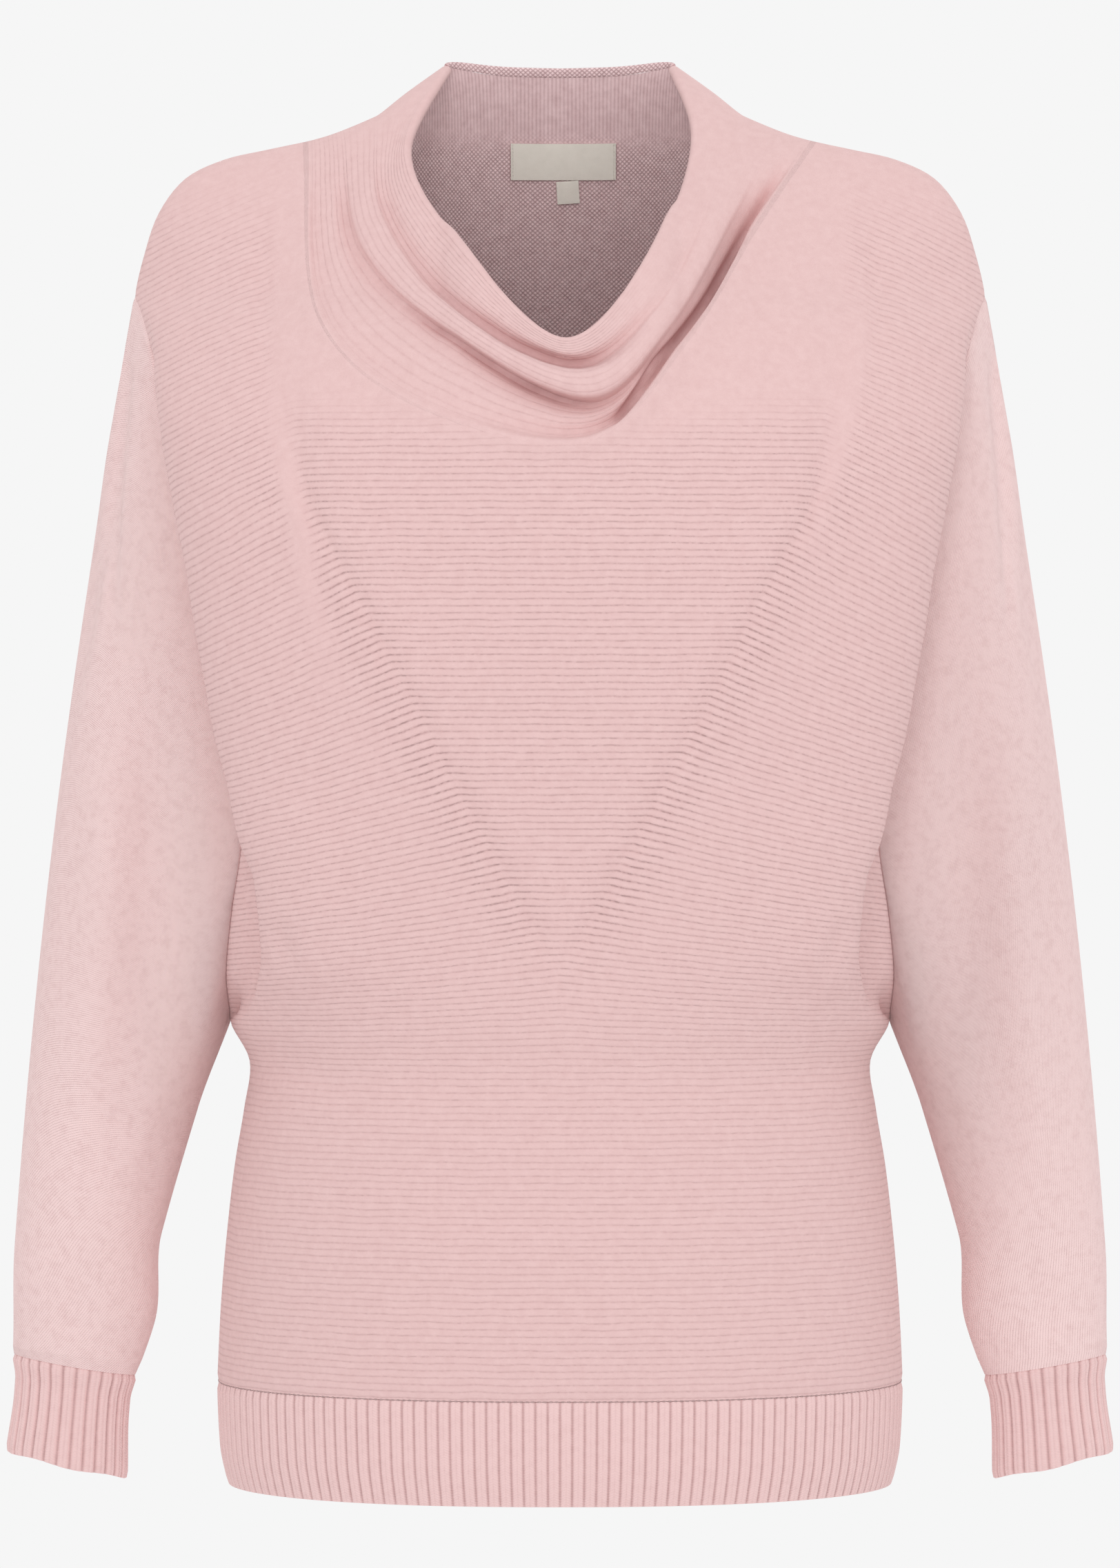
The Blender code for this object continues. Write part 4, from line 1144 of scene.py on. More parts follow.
    def build(self, normals: Array, finishes: Finishes) -> Piece:
        """Make the front.

        Args:
            normals: Outward directions of the front's surface.
            finishes: The sweater's finishes.

        Returns:
            The finished piece.
        """
        grid, normals = self.dressed(normals)
        course = self.courses(self.shell.front)
        ribbing = self.ribbing(self.shell.front)
        turned, turned_normals = self.shell.cowl.turned_edge(grid, normals, self.shell.rim_down)
        outer = np.concatenate([grid, turned])
        every = np.concatenate([normals, turned_normals])
        inner = outer - WALL * every
        drawn_in(outer, (0,), True, every)
        along, rise = knit_lengths(outer)
        extra = rise[len(grid):] - rise[len(grid) - 1]
        course = np.concatenate([course, course[-1] + extra])
        ribbing = np.concatenate([ribbing, np.tile(ribbing[-1] * 0.4, (len(turned), 1))])
        # Painted shade: a mark that deepens the knit's colour in the cowl's crevices.
        painted_crevice_shade = np.zeros_like(ribbing)
        painted_crevice_shade[:len(grid)] = self.painted_crevice_shade(self.shell.front)
        marks = {"ribbing": ribbing, "painted_crevice_shade": painted_crevice_shade}
        wall = Wall("front_knit", outer, inner, np.stack([along, course], axis=2), marks=marks)
        piece = carried(wall.build(finishes.ripple, finishes.inside), Slot.RIPPLE, "front")
        return piece


@dataclass
class BackPanel:
    """The ripple-knit back, with soft creases under the shoulders and over the waist."""

    shell: Shell
    flat: tuple[float, float] = (0.52, 0.70)
    cut_area: float = 0.30
    creases: tuple[Crease, ...] = (
        Crease(((-176.0, -170.0), (-150.0, -250.0), (-120.0, -330.0)), 15.0, -5.0, 0.3, 0.5),
        Crease(((178.0, -160.0), (154.0, -240.0), (128.0, -315.0)), 14.0, -4.6, 0.3, 0.5),
        Crease(((-150.0, -395.0), (-100.0, -425.0), (-40.0, -435.0)), 10.0, -4.6, 0.3, 0.6),
        Crease(((152.0, -400.0), (104.0, -432.0), (30.0, -446.0)), 9.0, -4.4, 0.3, 0.6),
        Crease(((-140.0, -455.0), (-80.0, -470.0), (10.0, -472.0)), 9.0, 3.0, 0.3, 0.5),
        Crease(((0.0, -40.0), (-6.0, -130.0), (-4.0, -240.0)), 18.0, -2.4, 0.4, 0.5),
    )

    def build(self, normals: Array, finishes: Finishes) -> Piece:
        """Make the back.

        Args:
            normals: Outward directions of the back's surface.
            finishes: The sweater's finishes.

        Returns:
            The finished piece.
        """
        grid = self.shell.back
        facing = np.clip(normals[..., 1] * 2, 0, 1)
        lift = sum(crease.offset(grid) for crease in self.creases) * facing
        lift *= smooth_step((36.0 - 12.0 - grid[..., 2]) / 30.0)
        lift[:, [0, -1]] = 0
        outer = grid + normals * lift[..., None]
        inner = outer - WALL * normals
        drawn_in(outer, (0, -1), True, normals)
        along, _ = knit_lengths(outer)
        strength = 0.48 + 0.14 * smooth_step((grid[..., 2] + 480) / 110)
        strength *= 1 - 0.8 * smooth_step((grid[..., 2] + 60) / 60)
        turn = slice(None, None, -1)
        uv = np.stack([-along, grid[..., 2]], axis=2)[:, turn]
        wall = Wall("back_knit", outer[:, turn], inner[:, turn], uv, marks={"ribbing": strength[:, turn]})
        piece = carried(wall.build(finishes.ripple, finishes.inside), Slot.RIPPLE, "back")
        return piece


@dataclass
class NeckBand:
    """The narrow band turned over the back neck edge."""

    shell: Shell
    height: float = 4.8
    thickness: float = 2.6
    end_taper: float = 0.6
    profile: tuple[tuple[float, float], ...] = (
        (0.03, 0.8), (0.15, 0.97), (0.3, 1.0), (0.6, 1.0), (0.75, 0.97), (0.88, 0.82), (0.96, 0.6), (1.0, 0.3),
    )
    flat: tuple[float, float] = (0.115, 0.01)
    cut_area: float = 0.00095

    def build(self, normals: Array, finishes: Finishes) -> Piece:
        """Make the band.

        Args:
            normals: Outward directions of the back's surface.
            finishes: The sweater's finishes.

        Returns:
            The finished piece.
        """
        edge = self.shell.back[-1]
        direction = normals[-1]
        middle = edge - direction * WALL / 2
        thick = direction * self.thickness / 2
        taper = 1 - self.end_taper * np.abs(np.linspace(-1, 1, len(edge))) ** 5
        rise = unit(np.cross(np.gradient(edge, axis=0), thick)) * (self.height * taper)[:, None]
        outer = np.array([middle + rise * height + thick * size for height, size in self.profile])[:, 1:-1]
        inner = np.array([middle + rise * height - thick * size for height, size in self.profile])[:, 1:-1]
        along, up = knit_lengths(outer)
        turn = slice(None, None, -1)
        uv = np.stack([-along, up], axis=2)[:, turn]
        wall = Wall("back_neck_band_knit", outer[:, turn], inner[:, turn], uv)
        piece = carried(wall.build(finishes.band, finishes.band), Slot.RIB, "back_neck_band")
        return piece


@dataclass
class Sleeve:
    """A long sleeve in fine plain knit, set into the deep armhole and tapered to the cuff."""

    shell: Shell
    rings: int = 150
    half_depth: float = 50.0
    wrist_depth: float = 19.0
    cuff_out: tuple[float, float] = (278.0, -617.0)
    cuff_in: tuple[float, float] = (215.0, -628.0)
    middle_y: float = 3.0
    shoulder_x: float = 217.0
    outline_slope: float = 0.180
    outline_bend: float = 0.000115
    underarm_x: float = 167.0
    underarm_ease: float = 0.62
    cap_reach: float = 2.2
    cap_ease: float = 1.5
    inner_edge: Table = Table(("share", "out"), ((0.0, 0.0), (0.25, 5.0), (0.6, 6.5), (0.85, -2.0), (1.0, 0.0)))
    depths: Table = Table(("share", "depth"), ((0.0, 50.0), (0.35, 46.0), (0.8, 31.0), (1.0, 19.0)))
    folds: tuple[tuple[float, ...], ...] = (
        (-22.0, 0.05, 0.48, 12.0, -3.0),
        (-105.0, 0.12, 0.88, 34.0, -4.5),
        (38.0, 0.1, 0.62, 26.0, -3.5),
    )
    creases: tuple[Crease, ...] = (
        Crease(((219.0, -100.0), (221.0, -134.6), (223.0, -161.2), (224.5, -187.0), (225.0, -213.5),
                (225.0, -240.0), (224.5, -275.0)), 3.2, -3.2, 0.15, 0.5),
        Crease(((226.0, -110.0), (229.0, -160.0), (231.0, -220.0), (231.0, -270.0)), 4.0, 1.2, 0.2, 0.5),
        Crease(((187.0, -470.0), (203.0, -520.0), (214.0, -570.0)), 9.0, -1.6, 0.3, 0.5),
        Crease(((204.0, -250.0), (205.0, -330.0), (208.0, -430.0), (214.0, -530.0)), 16.0, -4.0, 0.4, 0.4),
        Crease(((226.0, -280.0), (230.0, -380.0), (240.0, -480.0), (248.0, -560.0)), 13.0, 2.4, 0.4, 0.4),
        Crease(((236.0, -560.0), (246.0, -596.0), (250.0, -612.0)), 8.0, -1.2, 0.4, 0.3),
    )
    back_creases: tuple[Crease, ...] = (
        Crease(((206.0, -160.0), (212.0, -260.0), (214.0, -360.0)), 12.0, -3.6, 0.3, 0.5),
        Crease(((188.0, -455.0), (205.0, -500.0), (226.0, -540.0)), 8.0, -3.6, 0.3, 0.5),
        Crease(((250.0, -470.0), (232.0, -520.0), (222.0, -560.0)), 8.0, -3.0, 0.3, 0.5),
    )
    flat: tuple[float, float] = (0.36, 0.60)
    cut_area: float = 0.115

    def outline(self, z: Array | float) -> Array | float:
        """Distance of the sleeve's outer outline from the centre line."""
        down = self.shell.form.point_z - z
        return self.shoulder_x + down * (self.outline_slope - self.outline_bend * down)

    def ring(self, s: float, around: Array) -> Array:
        """One ring of the right sleeve.

        Args:
            s: Share of the way from the armhole to the cuff.
            around: Angles from the outer edge.

        Returns:
            The ring's points.
        """
        form = self.shell.form
        out_z = form.point_z + (self.cuff_out[1] - form.point_z) * s
        settle = (self.cuff_out[0] - self.outline(self.cuff_out[1])) * smooth_step((s - 0.9) * 10)
        out_x = self.outline(out_z) + settle - (1 - s)
        down = 1 - (1 - s) ** self.underarm_ease
        in_z = form.underarm_z + (self.cuff_in[1] - form.underarm_z) * down
        in_x = self.underarm_x + (self.cuff_in[0] - self.underarm_x) * down
        in_x += self.inner_edge.read("out", down, "share")
        middle = np.array([(out_x + in_x) / 2, self.middle_y * smooth_step(s * 3), (out_z + in_z) / 2])
        reach = np.array([(out_x - in_x) / 2, 0, (out_z - in_z) / 2])
        depth = self.depths.read("depth", s, "share")
        swell = np.ones_like(around)
        for angle, start, end, width, height in self.folds:
            away = (np.degrees(around) - angle + 180) % 360 - 180
            fade = smooth_step((s - start) * 6) * smooth_step((end - s) * 4)
            swell += height / self.half_depth * fade * np.exp(-((away / width) ** 2))
        side = np.stack([np.zeros_like(around), np.sin(around) * depth, np.zeros_like(around)], axis=1)
        return middle + swell[:, None] * (np.cos(around)[:, None] * reach + side)

    def surface(self) -> Array:
        """The right sleeve's outer surface as rings from the armhole to the cuff."""
        loop, around = self.shell.armhole()
        first = self.ring(0.0, around)
        rings = []
        for s in np.linspace(0, 1, self.rings + 1):
            cap = (1 - smooth_step(s * self.cap_reach)) ** self.cap_ease
            rings.append(self.ring(s, around) + (loop - first) * cap)
        return np.array(rings)

    def build(self, grid: Array, normals: Array, finishes: Finishes) -> list[Piece]:
        """Make both sleeves.

        Args:
            grid: The right sleeve's outer surface.
            normals: Its outward directions.
            finishes: The sweater's finishes.

        Returns:
            The right and the left piece.
        """
        ahead = np.clip(-normals[..., 1] * 2, 0, 1)
        behind = np.clip(normals[..., 1] * 2, 0, 1)
        lift = sum(crease.offset(grid) for crease in self.creases) * ahead
        lift += sum(crease.offset(grid) for crease in self.back_creases) * behind
        steps = np.arange(len(grid))
        lift *= (smooth_step(steps / 6) * smooth_step((len(grid) - 1 - steps) / 4))[:, None]
        outer = grid + normals * lift[..., None]
        plane = unit(np.array([self.cuff_out[0] - self.cuff_in[0], 0, self.cuff_out[1] - self.cuff_in[1]]))
        across = np.cross(plane, [0, 1.0, 0])
        normals = normals.copy()
        normals[-1] = unit(normals[-1] - across * (normals[-1] @ across)[:, None])
        inner = outer - WALL * normals
        drawn_in(outer, (0, -1), False, normals)
        along, rise = knit_lengths(outer, ring=True)
        uv = np.stack([along, -rise.mean(axis=1, keepdims=True) * np.ones_like(along)], axis=2)
        made = []
        for side in ("right", "left"):
            if side == "left":
                outer, inner = mirrored(outer), mirrored(inner)
            wall = Wall(f"sleeve_{side}_knit", outer, inner, uv, ring=True)
            piece = carried(wall.build(finishes.jersey, finishes.inside), Slot.PLAIN, f"sleeve_{side}")
            made.append(piece)
        return made


class Tool:
    """A Geometry Nodes tree with named inputs, applied to a piece and turned into its plain mesh."""

    def __init__(self, name: str, inputs: dict[str, tuple[str, object]]) -> None:
        """Start the tree.

        Args:
            name: Name of the tree.
            inputs: Sockets after the geometry, by name, each with its kind and first value.
        """
        self.tree = bpy.data.node_groups.new(name, "GeometryNodeTree")
        self.graph = Graph(self.tree)
        face = self.tree.interface
        face.new_socket("Geometry", in_out="OUTPUT", socket_type="NodeSocketGeometry")
        face.new_socket("Geometry", in_out="INPUT", socket_type="NodeSocketGeometry")
        self.keys: dict[str, str] = {}
        for key, (kind, value) in inputs.items():
            socket = face.new_socket(key, in_out="INPUT", socket_type=kind)
            if value is not None:
                socket.default_value = value
            self.keys[key] = socket.identifier
        self.inputs = self.graph.node("NodeGroupInput").outputs
        self.build()

    def build(self) -> None:
        """Fill the tree."""
        raise NotImplementedError

    def finish(self, geometry: Socket) -> None:
        """End the tree in Realize Instances and Set Material."""
        real = self.graph.node("GeometryNodeRealizeInstances", {"Geometry": geometry})
        dressed = self.graph.node(
            "GeometryNodeSetMaterial",
            {"Geometry": real.outputs["Geometry"], "Material": self.inputs["Material"]},
        )
        self.graph.node("NodeGroupOutput", {"Geometry": dressed.outputs["Geometry"]})

    def apply(self, piece: Piece, values: dict[str, object]) -> None:
        """Run the tree on a piece and keep the result as its plain mesh.

        Args:
            piece: The object to work on.
            values: Inputs by name.
        """
        modifier = piece.modifiers.new(self.tree.name, "NODES")
        modifier.node_group = self.tree
        for key, value in values.items():
            modifier[self.keys[key]] = value
        graph = bpy.context.evaluated_depsgraph_get()
        mesh = bpy.data.meshes.new_from_object(piece.evaluated_get(graph), depsgraph=graph)
        piece.modifiers.clear()
        mesh.name = piece.name
        piece.data = mesh


class RibRaiser(Tool):
    """Raises a row of ribs on a wall, each of two light wales, with a groove between ribs."""

    def __init__(self) -> None:
        """Name the inputs."""
        super().__init__(
            "raise_ribs",
            {
                "Rib Height": ("NodeSocketFloat", 0.001),
                "Groove Share": ("NodeSocketFloat", 0.45),
                "Wale Notch": ("NodeSocketFloat", 0.2),
                "Material": ("NodeSocketMaterial", None),
            },
        )

    def build(self) -> None:
        """Fill the tree."""
        graph = self.graph
        mark = "GeometryNodeInputNamedAttribute"
        across = graph.node(mark, {"Name": "across"}, data_type="FLOAT").outputs["Attribute"]
        raised = graph.node(mark, {"Name": "raised"}, data_type="FLOAT").outputs["Attribute"]
        out = graph.node(mark, {"Name": "out"}, data_type="FLOAT_VECTOR").outputs["Attribute"]
        phase = graph.math("FRACT", across)
        away = graph.math("ABSOLUTE", graph.math("SUBTRACT", graph.math("MULTIPLY", phase, 2.0), 1.0))
        start = graph.math("SUBTRACT", 1.0, self.inputs["Groove Share"])
        rib = graph.ranged(away, start, 1.0, 1.0, 0.0)
        notch = graph.math("MULTIPLY", graph.ranged(away, 0.0, 0.25, 1.0, 0.0), self.inputs["Wale Notch"])
        height = graph.math("MULTIPLY", graph.math("SUBTRACT", rib, notch), raised)
        height = graph.math("MULTIPLY", height, self.inputs["Rib Height"])
        offset = graph.node("ShaderNodeVectorMath", {0: out, "Scale": height}, operation="SCALE").outputs["Vector"]
        moved = graph.node("GeometryNodeSetPosition", {"Geometry": self.inputs["Geometry"], "Offset": offset})
        self.finish(moved.outputs["Geometry"])


class StitchLine(Tool):
    """Lays stitches along a line, each a small flattened bead of thread."""

    def __init__(self) -> None:
        """Name the inputs."""
        super().__init__(
            "stitch_line",
            {
                "Pitch": ("NodeSocketFloat", 0.003),
                "Length": ("NodeSocketFloat", 0.002),
                "Width": ("NodeSocketFloat", 0.0008),
                "Height": ("NodeSocketFloat", 0.0005),
                "Turn": ("NodeSocketFloat", 0.0),
                "Material": ("NodeSocketMaterial", None),
            },
        )

    def build(self) -> None:
        """Fill the tree."""
        graph = self.graph
        curve = graph.node("GeometryNodeMeshToCurve", {"Mesh": self.inputs["Geometry"]})
        even = graph.node("GeometryNodeResampleCurve", {"Curve": curve.outputs[0]})
        socket = next((s for s in even.inputs if s.name == "Mode"), None)
        if socket is not None:
            socket.default_value = "Length"
        else:
            even.mode = "LENGTH"
        graph.tree.links.new(self.inputs["Pitch"], even.inputs["Length"])
        bead = graph.node("GeometryNodeMeshUVSphere", {"Segments": 6, "Rings": 4, "Radius": 0.5})
        size = graph.node("ShaderNodeCombineXYZ", {"X": self.inputs["Length"], "Y": self.inputs["Width"]})
        graph.tree.links.new(self.inputs["Height"], size.inputs["Z"])
        turn = graph.node("ShaderNodeCombineXYZ", {"Z": self.inputs["Turn"]})
        shaped = graph.node(
            "GeometryNodeTransform",
            {"Geometry": bead.outputs["Mesh"], "Scale": size.outputs[0], "Rotation": turn.outputs[0]},
        )
        out = graph.node(
            "GeometryNodeInputNamedAttribute", {"Name": "out"}, data_type="FLOAT_VECTOR"
        ).outputs["Attribute"]
        tangent = graph.node("GeometryNodeInputTangent").outputs["Tangent"]
        upright = graph.node("FunctionNodeAlignRotationToVector", {"Vector": out}, axis="Z")
        laid = graph.node(
            "FunctionNodeAlignRotationToVector",
            {"Rotation": upright.outputs["Rotation"], "Vector": tangent},
            axis="X",
            pivot_axis="Z",
        )
        beads = graph.node(
            "GeometryNodeInstanceOnPoints",
            {
                "Points": even.outputs[0],
                "Instance": shaped.outputs["Geometry"],
                "Rotation": laid.outputs["Rotation"],
            },
        )
        self.finish(beads.outputs["Instances"])


def stitched(
    name: str, lines: list[tuple[Array, Array]], tool: StitchLine, values: dict[str, object], slot: Slot
) -> Piece:
    """Lay stitches along lines.

    Args:
        name: The new piece's name.
        lines: Points and outward directions of each line.
        tool: The tree that lays stitches.
        values: The tree's inputs.
        slot: Not used; it is handed on to carried, which ignores it.

    Returns:
        The finished piece.
    """
    points = np.concatenate([line for line, _ in lines])
    out = np.concatenate([direction for _, direction in lines])
    edges = []
    start = 0
    for line, _ in lines:
        edges += [(start + i, start + i + 1) for i in range(len(line) - 1)]
        start += len(line)
    mesh = bpy.data.meshes.new(name)
    mesh.from_pydata((points * MM).tolist(), edges, [])
    mesh.attributes.new("out", "FLOAT_VECTOR", "POINT").data.foreach_set("vector", out.ravel())
    piece = bpy.data.objects.new(name, mesh)
    bpy.context.scene.collection.objects.link(piece)
    tool.apply(piece, values)
    if not piece.data.uv_layers:
        piece.data.uv_layers.new(name=UV_NAME)
    piece.data.shade_smooth()
    return carried(piece, slot)


@dataclass
class Cuff:
    """A ribbed cuff, drawn in under its seam."""

    ribs: int = 28
    columns_per_rib: int = 8
    rib_height: float = 1.7
    wall: float = 1.4
    out_top: tuple[float, float] = (278.0, -617.0)
    in_top: tuple[float, float] = (215.0, -628.0)
    out_bottom: tuple[float, float] = (281.5, -666.0)
    in_bottom: tuple[float, float] = (219.5, -680.0)
    waist: float = 2.2
    half_depth: float = 19.0
    middle_y: float = 3.0
    rows: int = 18
    wave: float = 1.1
    flat: tuple[float, float] = (0.165, 0.052)

    def rings(self) -> tuple[Array, Array, Array]:
        """The right cuff's outer and inner surface, its ribs not yet raised, and how far each rib is."""
        columns = self.ribs * self.columns_per_rib
        around = -np.linspace(0, 2 * math.pi, columns, endpoint=False)
        outer = []
        inner = []
        for t in np.linspace(0, 1, self.rows):
            out = np.array(self.out_top) + (np.array(self.out_bottom) - np.array(self.out_top)) * t
            into = np.array(self.in_top) + (np.array(self.in_bottom) - np.array(self.in_top)) * t
            middle = (out + into) / 2
            reach = (out - into) / 2
            draw = self.waist * smooth_step(t * 4) * smooth_step((1.1 - t) * 1.4)
            size = np.linalg.norm(reach)
            plain = size - draw - self.rib_height
            lift = self.wave * smooth_step((t - 0.6) / 0.4) * np.sin(around * 5 + 0.6) * 0.5
            for radius, rows in ((plain, outer), (plain - self.wall, inner)):
                share = radius / size
                flat = np.cos(around) * share
                y = self.middle_y + np.sin(around) * (self.half_depth + (share - 1) * size)
                rows.append(np.stack([middle[0] + flat * reach[0], y, middle[1] + flat * reach[1] + lift], axis=1))
        across = np.arange(columns + 1) / self.columns_per_rib + 0.5
        return np.array(outer), np.array(inner), across

    def build(self, finishes: Finishes, raiser: RibRaiser) -> list[Piece]:
        """Make both cuffs.

        Args:
            finishes: The sweater's finishes.
            raiser: The tree that raises ribs.

        Returns:
            The right and the left piece.
        """
        made = []
        outer, inner, across = self.rings()
        out = unit(outer - inner)
        raised = np.ones(outer.shape[:2])
        raised[0] = 0.35
        raised[-1] = 0.7
        _, rise = knit_lengths(outer, ring=True)
        uv = np.stack([np.tile(across * RibKnit.pitch / MM, (len(outer), 1)), -rise], axis=2)
        for side in ("right", "left"):
            marks = {"across": np.tile(across[:-1], (len(outer), 1)), "raised": raised, "out": out}
            if side == "left":
                outer, inner, out = mirrored(outer), mirrored(inner), mirrored(out)
                marks["out"] = out
            wall = Wall(f"cuff_{side}_rib", outer, inner, uv, ring=True, marks=marks)
            piece = wall.build(finishes.rib, finishes.rib)
            raiser.apply(piece, {"Rib Height": self.rib_height * MM, "Material": finishes.rib})
            carried(piece, Slot.RIB, f"cuff_{side}")
            made.append(piece)
        return made


@dataclass
class HemBand:
    """The ribbed band round the hem, in a front and a back half."""

    form: TrunkForm
    ribs: int = 76
    columns_per_rib: int = 6
    rib_height: float = 1.2
    wall: float = 1.4
    top_z: float = -630.3
    bottom_z: float = -682.0
    rows: int = 14
    flat: tuple[float, float] = (0.46, 0.052)

    def build_half(self, side: Side, finishes: Finishes, raiser: RibRaiser) -> Piece:
        """Make one half of the band.

        Args:
            side: Front or back.
            finishes: The sweater's finishes.
            raiser: The tree that raises ribs.

        Returns:
            The finished piece.
        """
        columns = self.ribs * self.columns_per_rib
        shares = np.linspace(0, 1, columns // 2 + 1)
        outer = []
        inner = []
        directions = []
        for z in np.linspace(self.bottom_z, self.top_z, self.rows):
            row = both_halves(self.form.level_half(z, z, side, shares))
            out = unit(np.cross(np.gradient(row, axis=0), [0, 0, 1.0]))
            out *= np.sign((out * row).sum(axis=1, keepdims=True))
            outer.append(row - out * self.rib_height)
            inner.append(row - out * (self.rib_height + self.wall))
            directions.append(out)
        outer, inner, directions = np.array(outer), np.array(inner), np.array(directions)
        raised = np.ones(outer.shape[:2])
        raised[0] = 0.6
        raised[-1] = 0.25
        across = np.tile(np.arange(columns + 1) / self.columns_per_rib, (self.rows, 1))
        _, rise = knit_lengths(outer)
        uv = np.stack([across * RibKnit.pitch / MM, rise], axis=2)
        turn = slice(None, None, -side.value)
        name = side.name.lower()
        marks = {"across": across[:, turn], "raised": raised[:, turn], "out": directions[:, turn]}
        wall = Wall(f"hem_{name}_rib", outer[:, turn], inner[:, turn], uv[:, turn], marks=marks)
        piece = wall.build(finishes.rib, finishes.rib)
        raiser.apply(piece, {"Rib Height": self.rib_height * MM, "Material": finishes.rib})
        carried(piece, Slot.RIB, f"hem_rib_{name}")
        return piece


@dataclass
class Label:
    """A piece of bare woven tape on the inside of the back neck."""

    form: TrunkForm
    name: str
    node: str
    box: tuple[float, float, float, float]
    flat: tuple[float, float]
    askew: float = 0.0
    clear: float = 0.7
    thickness: float = 0.9
    crown: float = 0.25

    def place(self, x: Array, z: Array) -> Array:
        """Points on the label's back face, turned a little and laid on the knit.

        Args:
            x: Distances from the centre line.
            z: Heights.

        Returns:
            The points in space.
        """
        middle_x = (self.box[0] + self.box[1]) / 2
        top = self.box[3]
        c, s = math.cos(self.askew), math.sin(self.askew)
        turned_x = middle_x + (x - middle_x) * c - (z - top) * s
        turned_z = top + (x - middle_x) * s + (z - top) * c
        y = self.form.depth(turned_x, turned_z, Side.BACK) - WALL - self.clear
        return np.stack([turned_x, y, turned_z], axis=-1)

    def build(self, finishes: Finishes) -> Piece:
        """Make the label."""
        x_low, x_high, z_low, z_high = self.box
        x, z = np.meshgrid(np.linspace(x_low, x_high, 40), np.linspace(z_low, z_high, 16))
        behind = self.place(x, z)
        share_x = (x - x_low) / (x_high - x_low)
        share_z = (z - z_low) / (z_high - z_low)
        puff = self.crown * np.sin(math.pi * share_x) ** 0.5 * np.sin(math.pi * share_z) ** 0.5
        ahead = behind.copy()
        ahead[..., 1] -= self.thickness - self.crown + puff
        uv = np.stack([x - x_low, z - z_low], axis=2)
        wall = Wall(self.name, ahead, behind, uv)
        piece = carried(wall.build(finishes.tape, finishes.tape), Slot.TAPE, self.node)
        return piece

    def stitch_lines(self, inset: float) -> list[tuple[Array, Array]]:
        """Lines of stitches down both ends, and their outward directions."""
        lines = []
        for x in (self.box[0] + inset, self.box[1] - inset):
            z = np.linspace(self.box[2] + 0.8, self.box[3] - 0.8, 30)
            line = self.place(np.full_like(z, x), z)
            line[:, 1] -= self.thickness
            lines.append((line, np.tile([0.0, -1.0, 0.0], (len(z), 1))))
        return lines


@dataclass(frozen=True)
class Studio:
    """Soft studio light, a plain pale floor and the camera."""

    camera_distance: float = 3.0
    camera_z: float = -0.328
    lens: float = 135.7
    sensor: float = 36.0
    backdrop: float = 0.9216
    ambient: float = 0.9
    floor_z: float = -1.25
    floor_radius: float = 2.6

    def area_light(self, name: str, place: tuple[float, float, float], size: float, watts: float) -> None:
        """Add a soft light that points at the sweater."""
        light = bpy.data.lights.new(name, "AREA")
        light.shape = "DISK"
        light.size = size
        light.energy = watts
        lamp = bpy.data.objects.new(name, light)
        lamp.location = place
        away = np.array(place) - np.array([0.0, 0.0, self.camera_z])
        lamp.rotation_euler = (
            math.atan2(math.hypot(away[0], away[1]), away[2]),
            0.0,
            math.atan2(away[1], away[0]) + math.pi / 2,
        )
        bpy.context.scene.collection.objects.link(lamp)

    def build(self) -> None:
        """Set up the studio."""
        scene = bpy.context.scene
        world = bpy.data.worlds.new("studio")
        world.use_nodes = True
        graph = Graph(world.node_tree)
        seen = graph.node("ShaderNodeLightPath").outputs["Is Camera Ray"]
        strength = graph.math("MULTIPLY_ADD", seen, self.backdrop - self.ambient, self.ambient)
        background = graph.node("ShaderNodeBackground", {"Color": (1.0, 1.0, 1.0, 1.0), "Strength": strength})
        graph.node("ShaderNodeOutputWorld", {"Surface": background.outputs["Background"]})
        scene.world = world
        scene.view_settings.view_transform = "Standard"
        mesh = bpy.data.meshes.new("floor")
        turns = np.linspace(0, math.tau, 96, endpoint=False)
        rim = [(self.floor_radius * math.cos(a), self.floor_radius * math.sin(a), self.floor_z) for a in turns]
        mesh.from_pydata(rim, [], [tuple(range(len(rim)))])
        material = bpy.data.materials.new("pale_floor")
        material.use_nodes = True
        shader = material.node_tree.nodes["Principled BSDF"]
        shader.inputs["Base Color"].default_value = (0.8, 0.8, 0.8, 1.0)
        shader.inputs["Roughness"].default_value = 0.9
        mesh.materials.append(material)
        floor = bpy.data.objects.new("floor", mesh)
        scene.collection.objects.link(floor)
        self.area_light("key", (-0.45, -2.8, 0.55), 1.0, 11.0)
        self.area_light("fill", (1.5, -2.3, 0.4), 1.5, 5.0)
        self.area_light("rear", (0.9, 2.6, 1.0), 1.5, 12.0)
        lens = bpy.data.cameras.new("camera")
        lens.lens = self.lens
        lens.sensor_width = self.sensor
        camera = bpy.data.objects.new("camera", lens)
        camera.location = (0.0, -self.camera_distance, self.camera_z)
        camera.rotation_euler = (math.pi / 2, 0.0, 0.0)
        scene.collection.objects.link(camera)
        scene.camera = camera


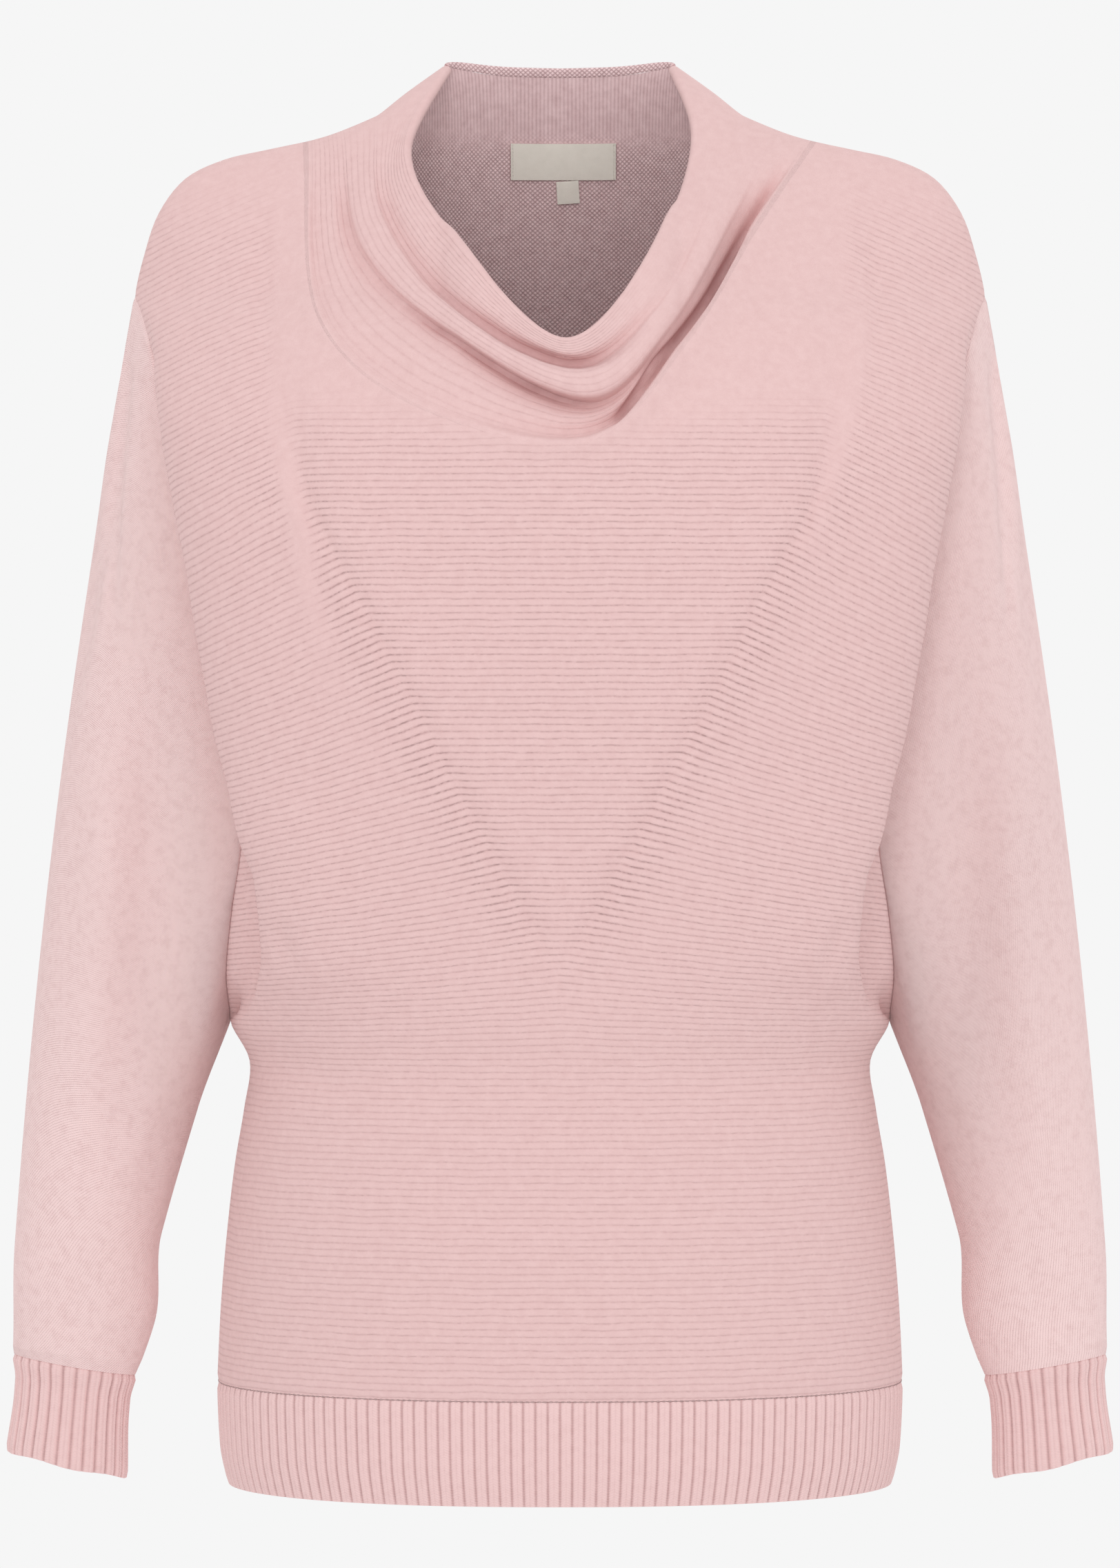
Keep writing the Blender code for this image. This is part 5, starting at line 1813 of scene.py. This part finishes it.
def seam_stitches(shell: Shell, normals: tuple[Array, Array], finishes: Finishes, tool: StitchLine) -> Piece:
    """Linking stitches round the hem seam.

    Args:
        shell: The trunk's surfaces.
        normals: Outward directions of the front and the back.
        finishes: The sweater's finishes.
        tool: The tree that lays stitches.

    Returns:
        The finished piece.
    """
    lines = []
    for grid, out in ((shell.front, normals[0]), (shell.back, normals[1])):
        row = grid[0] - out[0] * 0.75
        lines.append((row[2:-2] - np.array([0, 0, 0.1]), out[0, 2:-2]))
    values = {
        "Pitch": 2.9 * MM, "Length": 2.3 * MM, "Width": 0.9 * MM, "Height": 0.7 * MM, "Material": finishes.rib,
    }
    return stitched("hem_seam_stitches", lines, tool, values, Slot.RIB)


def main() -> None:
    """Build every class in order and report its pieces."""
    logging.basicConfig(level=logging.INFO, format="%(name)s: %(message)s")
    finishes = Finishes.make()
    Studio().build()
    form = TrunkForm()
    shell = Shell(form, Cowl())
    sleeve = Sleeve(shell)
    arm = sleeve.surface()
    front_normals, back_normals, arm_normals = shell.shared_normals(arm)
    raiser = RibRaiser()
    tool = StitchLine()
    FrontPanel(shell).build(front_normals, finishes)
    BackPanel(shell).build(back_normals, finishes)
    NeckBand(shell).build(back_normals, finishes)
    sleeve.build(arm, arm_normals, finishes)
    Cuff().build(finishes, raiser)
    hem = HemBand(form)
    hem.build_half(Side.FRONT, finishes, raiser)
    hem.build_half(Side.BACK, finishes, raiser)
    neck = Label(form, "neck_label_tape", "neck_label", (-25.5, 29.0, -14.2, 4.2), (0.0545, 0.0184))
    tab = Label(form, "size_tab_tape", "size_tab", (-2.0, 9.6, -26.2, -14.7), (0.0116, 0.0115), askew=0.06)
    neck.build(finishes)
    tab.build(finishes)
    seam_stitches(shell, (front_normals, back_normals), finishes, tool)
    values = {
        "Pitch": 1.7 * MM, "Length": 1.2 * MM, "Width": 0.35 * MM, "Height": 0.3 * MM, "Material": finishes.tape,
    }
    stitched("neck_label_stitches", neck.stitch_lines(1.1), tool, values, Slot.TAPE)


if __name__ == "__main__":
    main()
